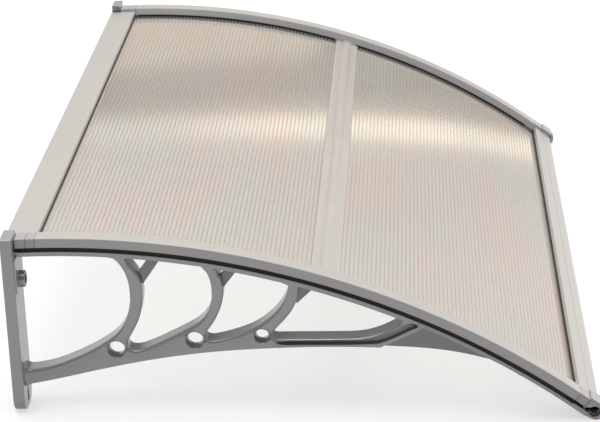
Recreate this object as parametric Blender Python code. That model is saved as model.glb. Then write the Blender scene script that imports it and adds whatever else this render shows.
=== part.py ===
"""Polycarbonate door canopy: two moulded brackets carry two arched twin-wall sheets.

Metres, +Z up. The wall is the plane Y = 0 and the canopy reaches out along -Y.
X runs along the wall. The origin is the middle of the rear bar's back face.

Shapes are drawn in two measures of the side view: reach u = -Y, away from the
wall, and height z over the crown line of the side covers at the wall. A third,
drop, is the distance under the arc that the covers' top faces follow.
"""
import math

import bmesh
import bpy
from mathutils import Vector

# Overall sizes
WIDTH = 1.200               # over the two wall plates
REACH = 0.762               # from the wall to the front bar's seal
ARC_RADIUS = 1.191          # bend of the covers' top faces
CROWN_REACH = 0.055         # where the arc is highest
TOP_OVER_ORIGIN = 0.012     # height of the arc at the wall over the origin
FIT = 0.0003                # clearance between pieces that touch

# Rails along the sides, and the stack of pieces under the arc
RAIL_WIDTH = 0.030
COVER_HEIGHT = 0.013
COVER_WALL = 0.0016
SHEET_THICKNESS = 0.0046
FLANGE_THICKNESS = 0.007
SHEET_INSET = 0.0085        # from a rail's outer face to the sheet's end
EDGE_SEAL_WIDTH = 0.0015
SEAL_HEIGHT = 0.0027
SEAL_WIDTH = 0.003
BAR_SEAL_WIDTH = 0.0052

# Twin-wall sheet
FLUTE_PITCH = 0.0064
SKIN = 0.0006
RIB = 0.0005

# Joint strip between the two sheets
STRIP_REACH = 0.429
STRIP_TOP_WIDTH = 0.040
STRIP_BOTTOM_WIDTH = 0.030
STRIP_FLANGE = 0.0014
STRIP_WEB = 0.0024
STRIP_EDGE = 0.0008         # thickness left at the top flange's edges
STRIP_TAPER = 0.003
STRIP_RIDGE_WIDTH = 0.016
STRIP_RIDGE_HEIGHT = 0.0036

# Bars along the wall and along the front
BAR_WALL = 0.0018
BAR_TOP_DROP = 0.0040
REAR_BAR_WIDTH = 0.044
REAR_SHEET_START = 0.018
FRONT_SHEET_LAP = 0.016
FRONT_BAR_TOP = 0.036
FRONT_GROOVE_AT = 0.022
FRONT_GROOVE_WIDTH = 0.0024
FRONT_GROOVE_DEPTH = 0.0009
GUTTER_RADIUS = 0.0078
GUTTER_WALL = 0.0018
GUTTER_MOUTH = math.radians(51)   # open part of the gutter, below its rear side

# Corner pieces at the rails' ends
REAR_CORNER_START = 0.0185
CORNER_GROOVE_AT = 0.031
CORNER_GROOVE = 0.0008
FRONT_CORNER_START = 0.0045
FRONT_CORNER_LENGTH = 0.0155
TONGUE_LENGTH = 0.018
TONGUE_PLAY = 0.0005
TONGUE_INSET = 0.001        # from a block's edge to the tongue that grows out of it
CAP_PROUD = 0.0026          # front cap over the covers' top faces
CAP_WALL = 0.0026           # front cap round the gutter
CAP_FOOT = 0.002            # thin foot that closes the groove at the sheet's end
CAP_FOOT_HEIGHT = 0.004

# Bracket
PLATE_WIDTH = 0.060
PLATE_THICKNESS = 0.0155
PLATE_FOOT = -0.248         # lowest point of the wall plate
PLATE_FOOT_RADIUS = 0.022
HEAD_HEIGHT = 0.006         # how far the head stands over the arc
HEAD_WIDTH = 0.038
PANEL_WIDTH = 0.022         # arm between the beads
BEAD = 0.0045               # bead round each opening
EDGE_CHAMFER = 0.0015
WEB = 0.008                 # thin web at the middle of the width
HOLE_RADIUS = 0.0098
HOLE_FLARE = 0.0034
HOLE_LAND = 0.006
BOSS_RADIUS = 0.0115
BOSS_LENGTH = 0.010
BOSS_DROP = 0.061
WALL_SCREW_RADIUS = 0.0032
SLOT_RADIUS = 0.0048
SLOT_LENGTH = 0.010
SLOT_TOP = -0.2255
HOOK_WALL = 0.0048          # under the gutter
HOOK_NOSE = 0.0025          # how much thicker the hook is in front of the gutter
HOOK_START = math.radians(190)   # from straight ahead, round under the gutter
HOOK_END = math.radians(390)
HOOK_GAP = math.radians(3)       # between the hook's end and the front cap

# Screws that hold the covers down, from below the flange
SCREW_RADIUS = 0.002
SCREW_HEAD_RADIUS = 0.0044
SCREW_HEAD_HEIGHT = 0.0026
SCREW_HOLE_PLAY = 0.0003
SCREW_REACHES = (0.100, 0.235, 0.345, 0.470)
LAST_SCREW = 0.062          # from the last screw to the front bar's seal
SCREW_TIP_DROP = 0.0085

# Working lengths: joined shapes run EMBED into each other, cutters run OVER past a face
EMBED = 0.001
OVER = 0.002
SLIVER = 0.0001             # keeps two cut faces from lying in one another

# Curves of the bracket's side view, from wall to front, as (reach, distance straight down from the arc)
ARM_UNDERSIDE = ((0.012, 0.2140), (0.060, 0.2056), (0.120, 0.1907), (0.190, 0.1716),
                 (0.270, 0.1497), (0.360, 0.1249), (0.450, 0.0969), (0.540, 0.0656),
                 (0.600, 0.0449), (0.655, 0.0291))
ARM_DRAWN = 0.668           # arm that these curves are drawn for: its underside meets the flange there
ARM_END = 0.094             # from that meeting to the front bar's seal
OPENING_1 = ((0.1460, 0.0248), (0.1570, 0.0399), (0.1630, 0.0544), (0.1655, 0.0731),
             (0.1640, 0.0943), (0.1570, 0.1169), (0.1440, 0.1359), (0.1200, 0.1545),
             (0.0930, 0.1697), (0.0600, 0.1823), (0.0330, 0.1873), (0.0190, 0.1857),
             (0.0125, 0.1765))
OPENING_2 = ((0.1600, 0.0246), (0.1710, 0.0376), (0.1795, 0.0517), (0.1828, 0.0704),
             (0.1815, 0.0905), (0.1760, 0.1121), (0.1670, 0.1310), (0.1585, 0.1468),
             (0.1600, 0.1561), (0.1680, 0.1584), (0.1800, 0.1552), (0.2020, 0.1437),
             (0.2300, 0.1261), (0.2520, 0.1104), (0.2660, 0.0944), (0.2735, 0.0761),
             (0.2750, 0.0558), (0.2715, 0.0374), (0.2620, 0.0236))
OPENING_3 = ((0.2800, 0.0248), (0.2875, 0.0364), (0.2908, 0.0517), (0.2895, 0.0690),
             (0.2840, 0.0870), (0.2755, 0.1047), (0.2660, 0.1194), (0.2635, 0.1279),
             (0.2700, 0.1312), (0.2820, 0.1279), (0.3030, 0.1182), (0.3260, 0.1045),
             (0.3450, 0.0879), (0.3620, 0.0675), (0.3730, 0.0470), (0.3790, 0.0254))
OPENING_4 = ((0.3910, 0.0259), (0.3895, 0.0423), (0.3830, 0.0602), (0.3720, 0.0783),
             (0.3590, 0.0958), (0.3520, 0.1066), (0.3580, 0.1101), (0.3720, 0.1068),
             (0.4300, 0.0897), (0.4700, 0.0751), (0.4950, 0.0600), (0.5160, 0.0419),
             (0.5310, 0.0260))
FORK_1 = ((0.179, 0.0458), (0.194, 0.0231), (0.210, 0.0231), (0.183, 0.0644))
FORK_2 = ((0.287, 0.0385), (0.299, 0.0210), (0.313, 0.0210), (0.289, 0.0571))
GUSSET_3 = ((0.388, 0.0238), (0.413, 0.0242), (0.387, 0.0561))
BAR_RECESS = ((0.358, 0.1166), (0.372, 0.1115), (0.430, 0.0943), (0.472, 0.0789), (0.498, 0.0628),
              (0.518, 0.0461), (0.536, 0.0283), (0.552, 0.0266), (0.534, 0.0407),
              (0.515, 0.0569), (0.492, 0.0742), (0.472, 0.0841), (0.430, 0.0987),
              (0.372, 0.1155))
FRONT_RECESS = ((0.494, 0.0954), (0.497, 0.0792), (0.515, 0.0649), (0.535, 0.0468),
                (0.560, 0.0229))
RECESS_END = 0.062          # from the recess's end to the front bar's seal
PANEL_TOP = ((-0.050, 0.1466), (0.130, 0.1449), (0.158, 0.1368), (0.236, 0.1204),
             (0.262, 0.1121), (0.328, 0.0996), (0.350, 0.0892), (0.372, 0.1043), (0.420, 0.0940),
             (0.540, 0.0260))
PANEL_FLOOR = -0.300        # below everything, for the cutters of the arm's recesses
ROUND_HOLES = ((0.1425, 0.1601), (0.2490, 0.1354), (0.3395, 0.1123))
HOLE_SIZES = (1.0, 1.0, 0.82)

RAIL_CENTRE = WIDTH / 2 - PLATE_WIDTH / 2
RAIL_INNER = RAIL_CENTRE - RAIL_WIDTH / 2
RAIL_OUTER = RAIL_CENTRE + RAIL_WIDTH / 2
ARC_HEIGHT = -math.sqrt(ARC_RADIUS ** 2 - CROWN_REACH ** 2)
SHEET_DROP = COVER_HEIGHT + FIT
FLANGE_DROP = SHEET_DROP + SHEET_THICKNESS + FIT
FLANGE_UNDER = FLANGE_DROP + FLANGE_THICKNESS
SEAL_DROP = COVER_HEIGHT - SEAL_HEIGHT
ARM_STRETCH = (REACH - ARM_END - PLATE_THICKNESS) / (ARM_DRAWN - PLATE_THICKNESS)
FRONT_ANGLE = math.asin((REACH - CROWN_REACH) / ARC_RADIUS)
GUTTER_AT = (FRONT_BAR_TOP, GUTTER_RADIUS - FLANGE_DROP - BAR_WALL)
FRONT_SEAM = FRONT_CORNER_START + FRONT_CORNER_LENGTH + FIT
SHEET_END = REACH + FRONT_SHEET_LAP * math.cos(FRONT_ANGLE)


def angle_at(reach):
    """Angle on the arc, from its crown, of a reach measured on the covers' top faces."""
    return math.asin((reach - CROWN_REACH) / ARC_RADIUS)


def on_arc(angle, drop):
    """Side-view point (reach, height) at an angle, a distance under the arc."""
    r = ARC_RADIUS - drop
    return CROWN_REACH + r * math.sin(angle), ARC_HEIGHT + r * math.cos(angle)


def at(reach, drop):
    """Side-view point under the arc at a reach measured along the top faces."""
    return on_arc(angle_at(reach), drop)


def in_front(t, n):
    """Side-view point in the front bar's frame: t down the slope from its seal, n outwards."""
    u0, z0 = on_arc(FRONT_ANGLE, 0)
    c, s = math.cos(FRONT_ANGLE), math.sin(FRONT_ANGLE)
    return u0 + t * c + n * s, z0 - t * s + n * c


def world(x, point):
    """World place of a side-view point at x along the wall."""
    return Vector((x, -point[0], point[1] + TOP_OVER_ORIGIN))


def smooth(points, steps=3):
    """Points along a curve through the given ones, with a Catmull-Rom spline between them."""
    pts = [Vector(p) for p in points]
    pts = [2 * pts[0] - pts[1]] + pts + [2 * pts[-1] - pts[-2]]
    out = []
    for a, b, c, d in zip(pts, pts[1:], pts[2:], pts[3:]):
        for k in range(steps):
            t = k / steps
            out.append(0.5 * (2 * b + (c - a) * t + (2 * a - 5 * b + 4 * c - d) * t ** 2
                              + (3 * b - a - 3 * c + d) * t ** 3))
    out.append(pts[-2])
    return [tuple(p) for p in out]


def along_arm(reach):
    """Reach of a place on the bracket as it is, from its reach on the drawn arm."""
    return PLATE_THICKNESS + (reach - PLATE_THICKNESS) * ARM_STRETCH


def hung(points):
    """Side-view points of a curve on the arm, given as drawn reaches and falls from the arc."""
    return [(along_arm(reach), at(along_arm(reach), 0)[1] - fall) for reach, fall in points]


def under_arc(reach_from, reach_to, drop, steps):
    """Side-view points along the arc between two reaches, at one drop."""
    a, b = angle_at(reach_from), angle_at(reach_to)
    return [on_arc(a + (b - a) * k / steps, drop) for k in range(steps + 1)]


def circle(centre, radius, sides, start=0.0, sweep=2 * math.pi, closed=True):
    """Points round a circle in the side view."""
    count = sides if closed else sides + 1
    return [(centre[0] + radius * math.cos(start + sweep * k / sides),
             centre[1] + radius * math.sin(start + sweep * k / sides)) for k in range(count)]


def area(outline):
    """Signed area of a closed outline."""
    return sum(a[0] * b[1] - b[0] * a[1] for a, b in zip(outline, outline[1:] + outline[:1])) / 2


def grown(outline, by):
    """Closed outline moved outwards by a distance, along the mean of each corner's two normals."""
    side = 1 if area(outline) > 0 else -1
    out = []
    n = len(outline)
    for i, p in enumerate(outline):
        e1 = (Vector(p) - Vector(outline[i - 1])).normalized()
        e2 = (Vector(outline[(i + 1) % n]) - Vector(p)).normalized()
        n1, n2 = Vector((e1.y, -e1.x)) * side, Vector((e2.y, -e2.x)) * side
        mid = (n1 + n2).normalized()
        reach = by / max(mid.dot(n1), 0.6)
        out.append((p[0] + mid.x * reach, p[1] + mid.y * reach))
    return out


def make(name, bm):
    """Object from a bmesh, with its faces turned outwards."""
    bmesh.ops.recalc_face_normals(bm, faces=bm.faces)
    mesh = bpy.data.meshes.new(name)
    bm.to_mesh(mesh)
    bm.free()
    obj = bpy.data.objects.new(name, mesh)
    bpy.context.collection.objects.link(obj)
    return obj


def loft(name, sections):
    """Closed solid through sections (x, side-view outline) with the same number of points."""
    bm = bmesh.new()
    rings = [[bm.verts.new(world(x, p)) for p in outline] for x, outline in sections]
    count = len(rings[0])
    for low, high in zip(rings, rings[1:]):
        for k in range(count):
            m = (k + 1) % count
            bm.faces.new((low[k], low[m], high[m], high[k]))
    bm.faces.new(rings[0])
    bm.faces.new(rings[-1])
    return make(name, bm)


def prism(name, outline, x0, x1):
    """Side-view outline carried straight along the wall."""
    return loft(name, [(x0, outline), (x1, outline)])


def swept(name, section, reach_from, reach_to, steps):
    """Rail that follows the arc: its section is (x, drop) points, closed, with an optional hole."""
    bm = bmesh.new()
    a, b = angle_at(reach_from), angle_at(reach_to)
    loops = section if isinstance(section[0][0], tuple) else [section]
    rings = [[[bm.verts.new(world(x, on_arc(a + (b - a) * k / steps, drop))) for x, drop in loop]
              for k in range(steps + 1)] for loop in loops]
    for ring in rings:
        for low, high in zip(ring, ring[1:]):
            for k in range(len(low)):
                m = (k + 1) % len(low)
                bm.faces.new((low[k], low[m], high[m], high[k]))
    for end in (0, -1):
        if len(loops) == 1:
            bm.faces.new(rings[0][end])
        else:
            outer, inner = rings[0][end], rings[1][end]
            for k in range(len(outer)):
                m = (k + 1) % len(outer)
                bm.faces.new((outer[k], outer[m], inner[m], inner[k]))
    return make(name, bm)


def combine(obj, other, operation):
    """Boolean of two objects; the second one is used up."""
    mod = obj.modifiers.new(operation.lower(), 'BOOLEAN')
    mod.operation = operation
    mod.solver = 'EXACT'
    mod.object = other
    deps = bpy.context.evaluated_depsgraph_get()
    mesh = bpy.data.meshes.new_from_object(obj.evaluated_get(deps))
    obj.modifiers.clear()
    old = obj.data
    obj.data = mesh
    mesh.name = obj.name
    bpy.data.meshes.remove(old)
    bpy.data.objects.remove(other, do_unlink=True)
    return obj


def cut(obj, other):
    """Takes the second object's shape out of the first."""
    return combine(obj, other, 'DIFFERENCE')


def join(obj, other):
    """Makes the second object's shape part of the first."""
    return combine(obj, other, 'UNION')


def material(name, colour, roughness, metallic=0.0, alpha=1.0):
    """Plain Principled material."""
    mat = bpy.data.materials.get(name) or bpy.data.materials.new(name)
    mat.use_nodes = True
    shader = mat.node_tree.nodes['Principled BSDF']
    shader.inputs['Base Color'].default_value = (*colour, 1.0)
    shader.inputs['Roughness'].default_value = roughness
    shader.inputs['Metallic'].default_value = metallic
    shader.inputs['Alpha'].default_value = alpha
    return mat


def finish(obj, name, mat):
    """Names a finished piece and gives it its material."""
    obj.name = name
    obj.data.name = name
    obj.data.materials.clear()
    obj.data.materials.append(mat)
    return obj


# Flute layout: where each sheet's ribs stand on the arc

def sheet_angles(reach_from, reach_to):
    """Angles of a sheet's ribs between two edges, a whole number of flutes."""
    a, b = angle_at(reach_from), angle_at(reach_to)
    cells = max(2, round((b - a) * ARC_RADIUS / FLUTE_PITCH))
    return [a + (b - a) * k / cells for k in range(cells + 1)]


STRIP_HALF_GAP = STRIP_WEB / 2 + FIT
REAR_SHEET = sheet_angles(REAR_SHEET_START, STRIP_REACH - STRIP_HALF_GAP)
FRONT_SHEET = sheet_angles(STRIP_REACH + STRIP_HALF_GAP, SHEET_END)


def screw_angles():
    """Angle of each cover screw: the middle of the flute nearest to its wanted reach."""
    out = []
    for reach in [along_arm(reach) for reach in SCREW_REACHES] + [REACH - LAST_SCREW]:
        ribs = REAR_SHEET if reach < STRIP_REACH else FRONT_SHEET
        middles = [(p + q) / 2 for p, q in zip(ribs[1:], ribs[2:-1])]
        out.append(min(middles, key=lambda m: abs(m - angle_at(reach))))
    return out


def peg(name, x, angle, radius, drop_top, drop_bottom, sides=10):
    """Round bar across the sheet at a place on the rail, between two drops."""
    bm = bmesh.new()
    rings = []
    for drop in (drop_top, drop_bottom):
        mid = world(x, on_arc(angle, drop))
        along = Vector((0, -math.cos(angle), -math.sin(angle)))
        rings.append([bm.verts.new(mid + Vector((radius * math.cos(t), 0, 0)) + along * radius * math.sin(t))
                      for t in (2 * math.pi * (k + 0.5) / sides for k in range(sides))])
    for k in range(sides):
        m = (k + 1) % sides
        bm.faces.new((rings[0][k], rings[0][m], rings[1][m], rings[1][k]))
    bm.faces.new(rings[0])
    bm.faces.new(rings[1])
    return make(name, bm)


def twin_wall_sheet(name, ribs, mat):
    """Extruded twin-wall sheet: two skins and a rib at each angle, open flutes along the wall."""
    x0, x1 = -(RAIL_OUTER - SHEET_INSET), RAIL_OUTER - SHEET_INSET
    top, bottom = SHEET_DROP, SHEET_DROP + SHEET_THICKNESS
    bm = bmesh.new()
    half = RIB / 2 / ARC_RADIUS

    def column(x):
        place = lambda angle, drop: bm.verts.new(world(x, on_arc(angle, drop)))
        outer = [(place(a, top), place(a, bottom)) for a in ribs]
        holes = []
        for i, (a, b) in enumerate(zip(ribs, ribs[1:])):
            lo = a + (2 * half if i == 0 else half)
            hi = b - (2 * half if i == len(ribs) - 2 else half)
            holes.append((place(lo, top + SKIN), place(hi, top + SKIN),
                          place(hi, bottom - SKIN), place(lo, bottom - SKIN)))
        return outer, holes

    ends = [column(x0), column(x1)]
    for outer, holes in ends:
        for i, (a, b, c, d) in enumerate(holes):
            bm.faces.new((outer[i][0], outer[i + 1][0], b, a))
            bm.faces.new((outer[i][1], d, c, outer[i + 1][1]))
            if i:
                _, pb, pc, _ = holes[i - 1]
                bm.faces.new((outer[i][0], a, d, outer[i][1], pc, pb))
        first, last = holes[0], holes[-1]
        bm.faces.new((outer[0][0], first[0], first[3], outer[0][1]))
        bm.faces.new((outer[-1][0], outer[-1][1], last[2], last[1]))
    (o0, h0), (o1, h1) = ends
    for i in range(len(ribs) - 1):
        bm.faces.new((o0[i][0], o0[i + 1][0], o1[i + 1][0], o1[i][0]))
        bm.faces.new((o0[i][1], o0[i + 1][1], o1[i + 1][1], o1[i][1]))
        for k in range(4):
            m = (k + 1) % 4
            bm.faces.new((h0[i][k], h0[i][m], h1[i][m], h1[i][k]))
    for i in (0, -1):
        bm.faces.new((o0[i][0], o0[i][1], o1[i][1], o1[i][0]))
    sheet = make(name, bm)
    for side in (-1, 1):
        for angle in screw_angles():
            if ribs[0] < angle < ribs[-1]:
                hole = peg('hole', side * RAIL_CENTRE, angle, SCREW_RADIUS + SCREW_HOLE_PLAY,
                           top - FIT, bottom + FIT)
                cut(sheet, hole)
    return finish(sheet, name, mat)


def openings():
    """The four openings of a bracket, each closed along the underside of its flange."""
    out = []
    for points in (OPENING_1, OPENING_2, OPENING_3, OPENING_4):
        curve = smooth(hung(points), 2)
        curve[0] = at(curve[0][0], FLANGE_UNDER)
        first = curve[0][0]
        last = curve[-1][0]
        if points is not OPENING_1:
            curve[-1] = at(last, FLANGE_UNDER)
            lid = under_arc(last, first, FLANGE_UNDER, 4)[1:-1]
        else:
            lid = under_arc(last, first, FLANGE_UNDER, 4)[:-1]
        out.append(curve + lid)
    return out


def bracket_outline():
    """Arm, flange and nose of a bracket in the side view."""
    nose_end = REACH + (GUTTER_AT[0] - GUTTER_RADIUS / 2) * math.cos(FRONT_ANGLE)
    top = under_arc(PLATE_THICKNESS - EMBED, nose_end, FLANGE_DROP, 24)
    flange = under_arc(REACH - ARM_END, nose_end, FLANGE_UNDER, 5)
    return smooth(hung(ARM_UNDERSIDE), 2) + flange + top[::-1]


def front_recess():
    """Front part of the arm, thinner than the rest, between its lower edge and the flange."""
    curve = smooth(hung(FRONT_RECESS), 2)
    lid = under_arc(curve[-1][0], REACH - RECESS_END, FLANGE_UNDER, 4)
    return curve[:-1] + lid + [(lid[-1][0], PANEL_FLOOR), (curve[0][0], PANEL_FLOOR)]


def make_bracket(side, mat):
    """Moulded bracket: wall plate, pierced arm, arched flange and the nose that holds the front bar.

    It is made round x = 0, the middle of its width, and moved out to its rail when it is whole.
    """
    half, panel, web = RAIL_WIDTH / 2, PANEL_WIDTH / 2, WEB / 2
    m = lambda depth: side * depth
    both_sides = lambda inner: ((inner, half + OVER), (-half - OVER, -inner))
    body = prism('bracket', bracket_outline(), m(-half), m(half))
    holes = openings()
    for hole in holes:
        wide = grown(hole, EDGE_CHAMFER + OVER)
        cut(body, loft('opening', [(m(-half - OVER), wide), (m(-half + EDGE_CHAMFER), hole),
                                   (m(half - EDGE_CHAMFER), hole), (m(half + OVER), wide)]))
    lid = hung(PANEL_TOP)
    region = lid + [(lid[-1][0], PANEL_FLOOR), (lid[0][0], PANEL_FLOOR)]
    for low, high in both_sides(panel):
        pocket = prism('pocket', region, m(low), m(high))
        for hole in holes:
            cut(pocket, prism('bead', grown(hole, BEAD), m(low - OVER), m(high + OVER)))
        cut(body, pocket)
    for low, high in both_sides(web):
        cut(body, prism('recess', hung(BAR_RECESS), m(low), m(high)))
        cut(body, prism('recess', front_recess(), m(low), m(high)))
    for fork in (FORK_1, FORK_2, GUSSET_3):
        join(body, prism('fork', hung(fork), m(-web), m(web)))
    for centre, size in zip(hung(ROUND_HOLES), HOLE_SIZES):
        r = HOLE_RADIUS * size
        flare = r + HOLE_FLARE
        steps = [(-half - OVER, flare), (-panel, flare), (-HOLE_LAND / 2, r),
                 (HOLE_LAND / 2, r), (panel, flare), (half + OVER, flare)]
        cut(body, loft('hole', [(m(w), circle(centre, radius, 20)) for w, radius in steps]))
    return finish_bracket(body, side, mat)


def wall_plate(side):
    """Wall plate with a rounded foot, and the head that stands over the side cover."""
    half, r = PLATE_WIDTH / 2, PLATE_FOOT_RADIUS
    bottom = PLATE_FOOT + TOP_OVER_ORIGIN
    shoulder = at(0.0, FLANGE_DROP + BAR_WALL)[1] - FIT + TOP_OVER_ORIGIN
    head = HEAD_HEIGHT + TOP_OVER_ORIGIN
    head_inner = half - HEAD_WIDTH
    outline = [(half, head), (head_inner, head), (head_inner, shoulder), (-half, shoulder)]
    for centre, start in ((-half + r, math.pi), (half - r, 1.5 * math.pi)):
        outline += circle((centre, bottom + r), r, 5, start, math.pi / 2, closed=False)
    bm = bmesh.new()
    rings = [[bm.verts.new((side * w, -u, z)) for w, z in outline]
             for u in (0.0, PLATE_THICKNESS)]
    for k in range(len(outline)):
        n = (k + 1) % len(outline)
        bm.faces.new((rings[0][k], rings[0][n], rings[1][n], rings[1][k]))
    bm.faces.new(rings[0])
    bm.faces.new(rings[1])
    return make('plate', bm)


def level_rod(name, x, z, radius, u0, u1, sides=16, stretch=0.0):
    """Round or slotted rod square to the wall, from reach u0 to u1."""
    bm = bmesh.new()
    rings = []
    for u in (u0, u1):
        ring = []
        for k in range(sides):
            t = 2 * math.pi * k / sides + math.pi / sides
            lift = stretch / 2 if math.sin(t) > 0 else -stretch / 2
            ring.append(bm.verts.new((x + radius * math.cos(t), -u, z + lift + radius * math.sin(t))))
        rings.append(ring)
    for k in range(sides):
        n = (k + 1) % sides
        bm.faces.new((rings[0][k], rings[0][n], rings[1][n], rings[1][k]))
    bm.faces.new(rings[0])
    bm.faces.new(rings[1])
    return make(name, bm)


def finish_bracket(body, side, mat):
    """Adds the plate, the upper boss and the front hook, and drills the holes."""
    half = RAIL_WIDTH / 2
    centre = in_front(*GUTTER_AT)
    seat = GUTTER_RADIUS + FIT
    join(body, wall_plate(side))
    boss_z = TOP_OVER_ORIGIN - BOSS_DROP
    slot_z = TOP_OVER_ORIGIN + SLOT_TOP - SLOT_LENGTH / 2
    boss_end = PLATE_THICKNESS + BOSS_LENGTH
    join(body, level_rod('boss', 0, boss_z, BOSS_RADIUS, PLATE_THICKNESS / 2, boss_end))
    sweep = HOOK_END - HOOK_START
    nose = (centre[0] + HOOK_NOSE, centre[1])
    outer = circle(nose, seat + HOOK_WALL, 18, HOOK_START, sweep, closed=False)
    inner = circle(centre, seat - EMBED / 2, 18, HOOK_START, sweep, closed=False)
    join(body, prism('hook', outer + inner[::-1], -half, half))
    cut(body, prism('seat', circle(centre, seat, 32), -half - OVER, half + OVER))
    for angle in screw_angles():
        cut(body, peg('drill', 0, angle, SCREW_RADIUS + SCREW_HOLE_PLAY, FLANGE_DROP - OVER,
                      FLANGE_UNDER + OVER))
    cut(body, level_rod('wall_screw', 0, boss_z, WALL_SCREW_RADIUS, -OVER, boss_end + OVER, 12))
    cut(body, level_rod('slot', 0, slot_z, SLOT_RADIUS, -OVER, boss_end, 12, SLOT_LENGTH))
    body.location.x = side * RAIL_CENTRE
    return finish(body, 'bracket_left' if side < 0 else 'bracket_right', mat)


def make_side_rail(side, metal, plastic, rubber, steel):
    """Cover, corner pieces, seals and screws along one side."""
    tag = 'left' if side < 0 else 'right'
    x = lambda depth: side * (RAIL_OUTER - depth)
    cover_start = REAR_BAR_WIDTH
    cover_end = REACH + (FRONT_CORNER_START - FIT) * math.cos(FRONT_ANGLE)
    w = COVER_WALL
    outer = ((x(0), 0), (x(RAIL_WIDTH), 0), (x(RAIL_WIDTH), COVER_HEIGHT), (x(0), COVER_HEIGHT))
    inner = ((x(w), w), (x(RAIL_WIDTH - w), w), (x(RAIL_WIDTH - w), COVER_HEIGHT - w),
             (x(w), COVER_HEIGHT - w))
    cover = swept('cover', (outer, inner), cover_start, cover_end, 28)
    for angle in screw_angles():
        cut(cover, peg('drill', x(RAIL_WIDTH / 2), angle, SCREW_RADIUS + SCREW_HOLE_PLAY,
                       COVER_HEIGHT - w - OVER, COVER_HEIGHT + OVER))
    finish(cover, f'side_cover_{tag}', metal)

    seal_x = (x(SHEET_INSET - FIT - EDGE_SEAL_WIDTH), x(SHEET_INSET - FIT))
    section = ((seal_x[0], SHEET_DROP), (seal_x[1], SHEET_DROP),
               (seal_x[1], SHEET_DROP + SHEET_THICKNESS), (seal_x[0], SHEET_DROP + SHEET_THICKNESS))
    finish(swept('seal', section, REAR_SHEET_START, SHEET_END, 28), f'edge_seal_{tag}', rubber)

    top_x = (x(RAIL_WIDTH + FIT), x(RAIL_WIDTH + FIT + SEAL_WIDTH))
    section = ((top_x[0], SEAL_DROP), (top_x[1], SEAL_DROP), (top_x[1], COVER_HEIGHT),
               (top_x[0], COVER_HEIGHT))
    strip_half = STRIP_TOP_WIDTH / 2 * math.cos(angle_at(STRIP_REACH)) + 2 * FIT
    seal_rear = REAR_BAR_WIDTH - BAR_WALL - FIT + BAR_SEAL_WIDTH + 2 * FIT
    seal_front = REACH - (BAR_SEAL_WIDTH - BAR_WALL - FIT) * math.cos(FRONT_ANGLE) - 2 * FIT
    finish(swept('seal', section, seal_rear, STRIP_REACH - strip_half, 14), f'side_seal_{tag}_rear', rubber)
    finish(swept('seal', section, STRIP_REACH + strip_half, seal_front, 14), f'side_seal_{tag}_front', rubber)

    make_rear_corner(tag, x, plastic)
    make_front_corner(tag, x, plastic)
    make_front_cap(tag, x, plastic)

    for number, angle in enumerate(screw_angles(), 1):
        shank = peg('shank', x(RAIL_WIDTH / 2), angle, SCREW_RADIUS, SCREW_TIP_DROP,
                    FLANGE_UNDER + FIT + SCREW_HEAD_HEIGHT / 2)
        head = peg('head', x(RAIL_WIDTH / 2), angle, SCREW_HEAD_RADIUS, FLANGE_UNDER + FIT,
                   FLANGE_UNDER + FIT + SCREW_HEAD_HEIGHT, 14)
        finish(join(shank, head), f'cover_screw_{tag}_{number}', steel)


def make_rear_corner(tag, x, plastic):
    """Plastic corner that closes the rear end of a cover and plugs into the rear bar."""
    play = COVER_WALL + TONGUE_PLAY
    begin, end = REAR_CORNER_START, REAR_BAR_WIDTH - FIT
    box = [at(begin, 0), at(end, 0), at(end, COVER_HEIGHT), at(begin, COVER_HEIGHT)]
    corner = prism('corner', box, x(0), x(RAIL_WIDTH))
    plug = under_arc(end - OVER, end + TONGUE_LENGTH, play, 2)
    plug += under_arc(end + TONGUE_LENGTH, end - OVER, COVER_HEIGHT - play, 2)
    join(corner, prism('plug', plug, x(play), x(RAIL_WIDTH - play)))
    high = BAR_TOP_DROP + BAR_WALL + TONGUE_PLAY
    low = SEAL_DROP - TONGUE_PLAY
    first, last = begin + TONGUE_INSET, end - BAR_WALL - TONGUE_INSET
    plug = [at(first, high), at(last, high), at(last, low), at(first, low)]
    join(corner, prism('plug', plug, x(RAIL_WIDTH - OVER), x(RAIL_WIDTH + TONGUE_LENGTH)))
    g = CORNER_GROOVE
    front, back = CORNER_GROOVE_AT + g / 2, CORNER_GROOVE_AT - g / 2
    for low, depth in ((g, RAIL_WIDTH + g), (COVER_HEIGHT + g, g)):
        slot = [at(back, -g), at(front, -g), at(front, low), at(back, low)]
        cut(corner, prism('groove', slot, x(-g), x(depth)))
    finish(corner, f'rear_corner_{tag}', plastic)


def make_front_corner(tag, x, plastic):
    """Plastic corner between a cover's front end and the front bar."""
    play = COVER_WALL + TONGUE_PLAY
    t0, t1 = FRONT_CORNER_START, FRONT_CORNER_START + FRONT_CORNER_LENGTH
    box = [in_front(t0, 0), in_front(t1, 0), in_front(t1, -COVER_HEIGHT), in_front(t0, -COVER_HEIGHT)]
    corner = prism('corner', box, x(0), x(RAIL_WIDTH))
    tip = REACH - TONGUE_LENGTH
    base = REACH + (t0 + OVER) * math.cos(FRONT_ANGLE)
    plug = under_arc(tip, base, play, 2) + under_arc(base, tip, COVER_HEIGHT - play, 2)
    join(corner, prism('plug', plug, x(play), x(RAIL_WIDTH - play)))
    high = -(BAR_TOP_DROP + BAR_WALL + TONGUE_PLAY)
    low = -(COVER_HEIGHT - TONGUE_PLAY)
    first, last = t0 + TONGUE_INSET, t1 - TONGUE_INSET
    plug = [in_front(first, high), in_front(last, high), in_front(last, low), in_front(first, low)]
    join(corner, prism('plug', plug, x(RAIL_WIDTH - OVER), x(RAIL_WIDTH + TONGUE_LENGTH)))
    finish(corner, f'front_corner_{tag}', plastic)


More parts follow.
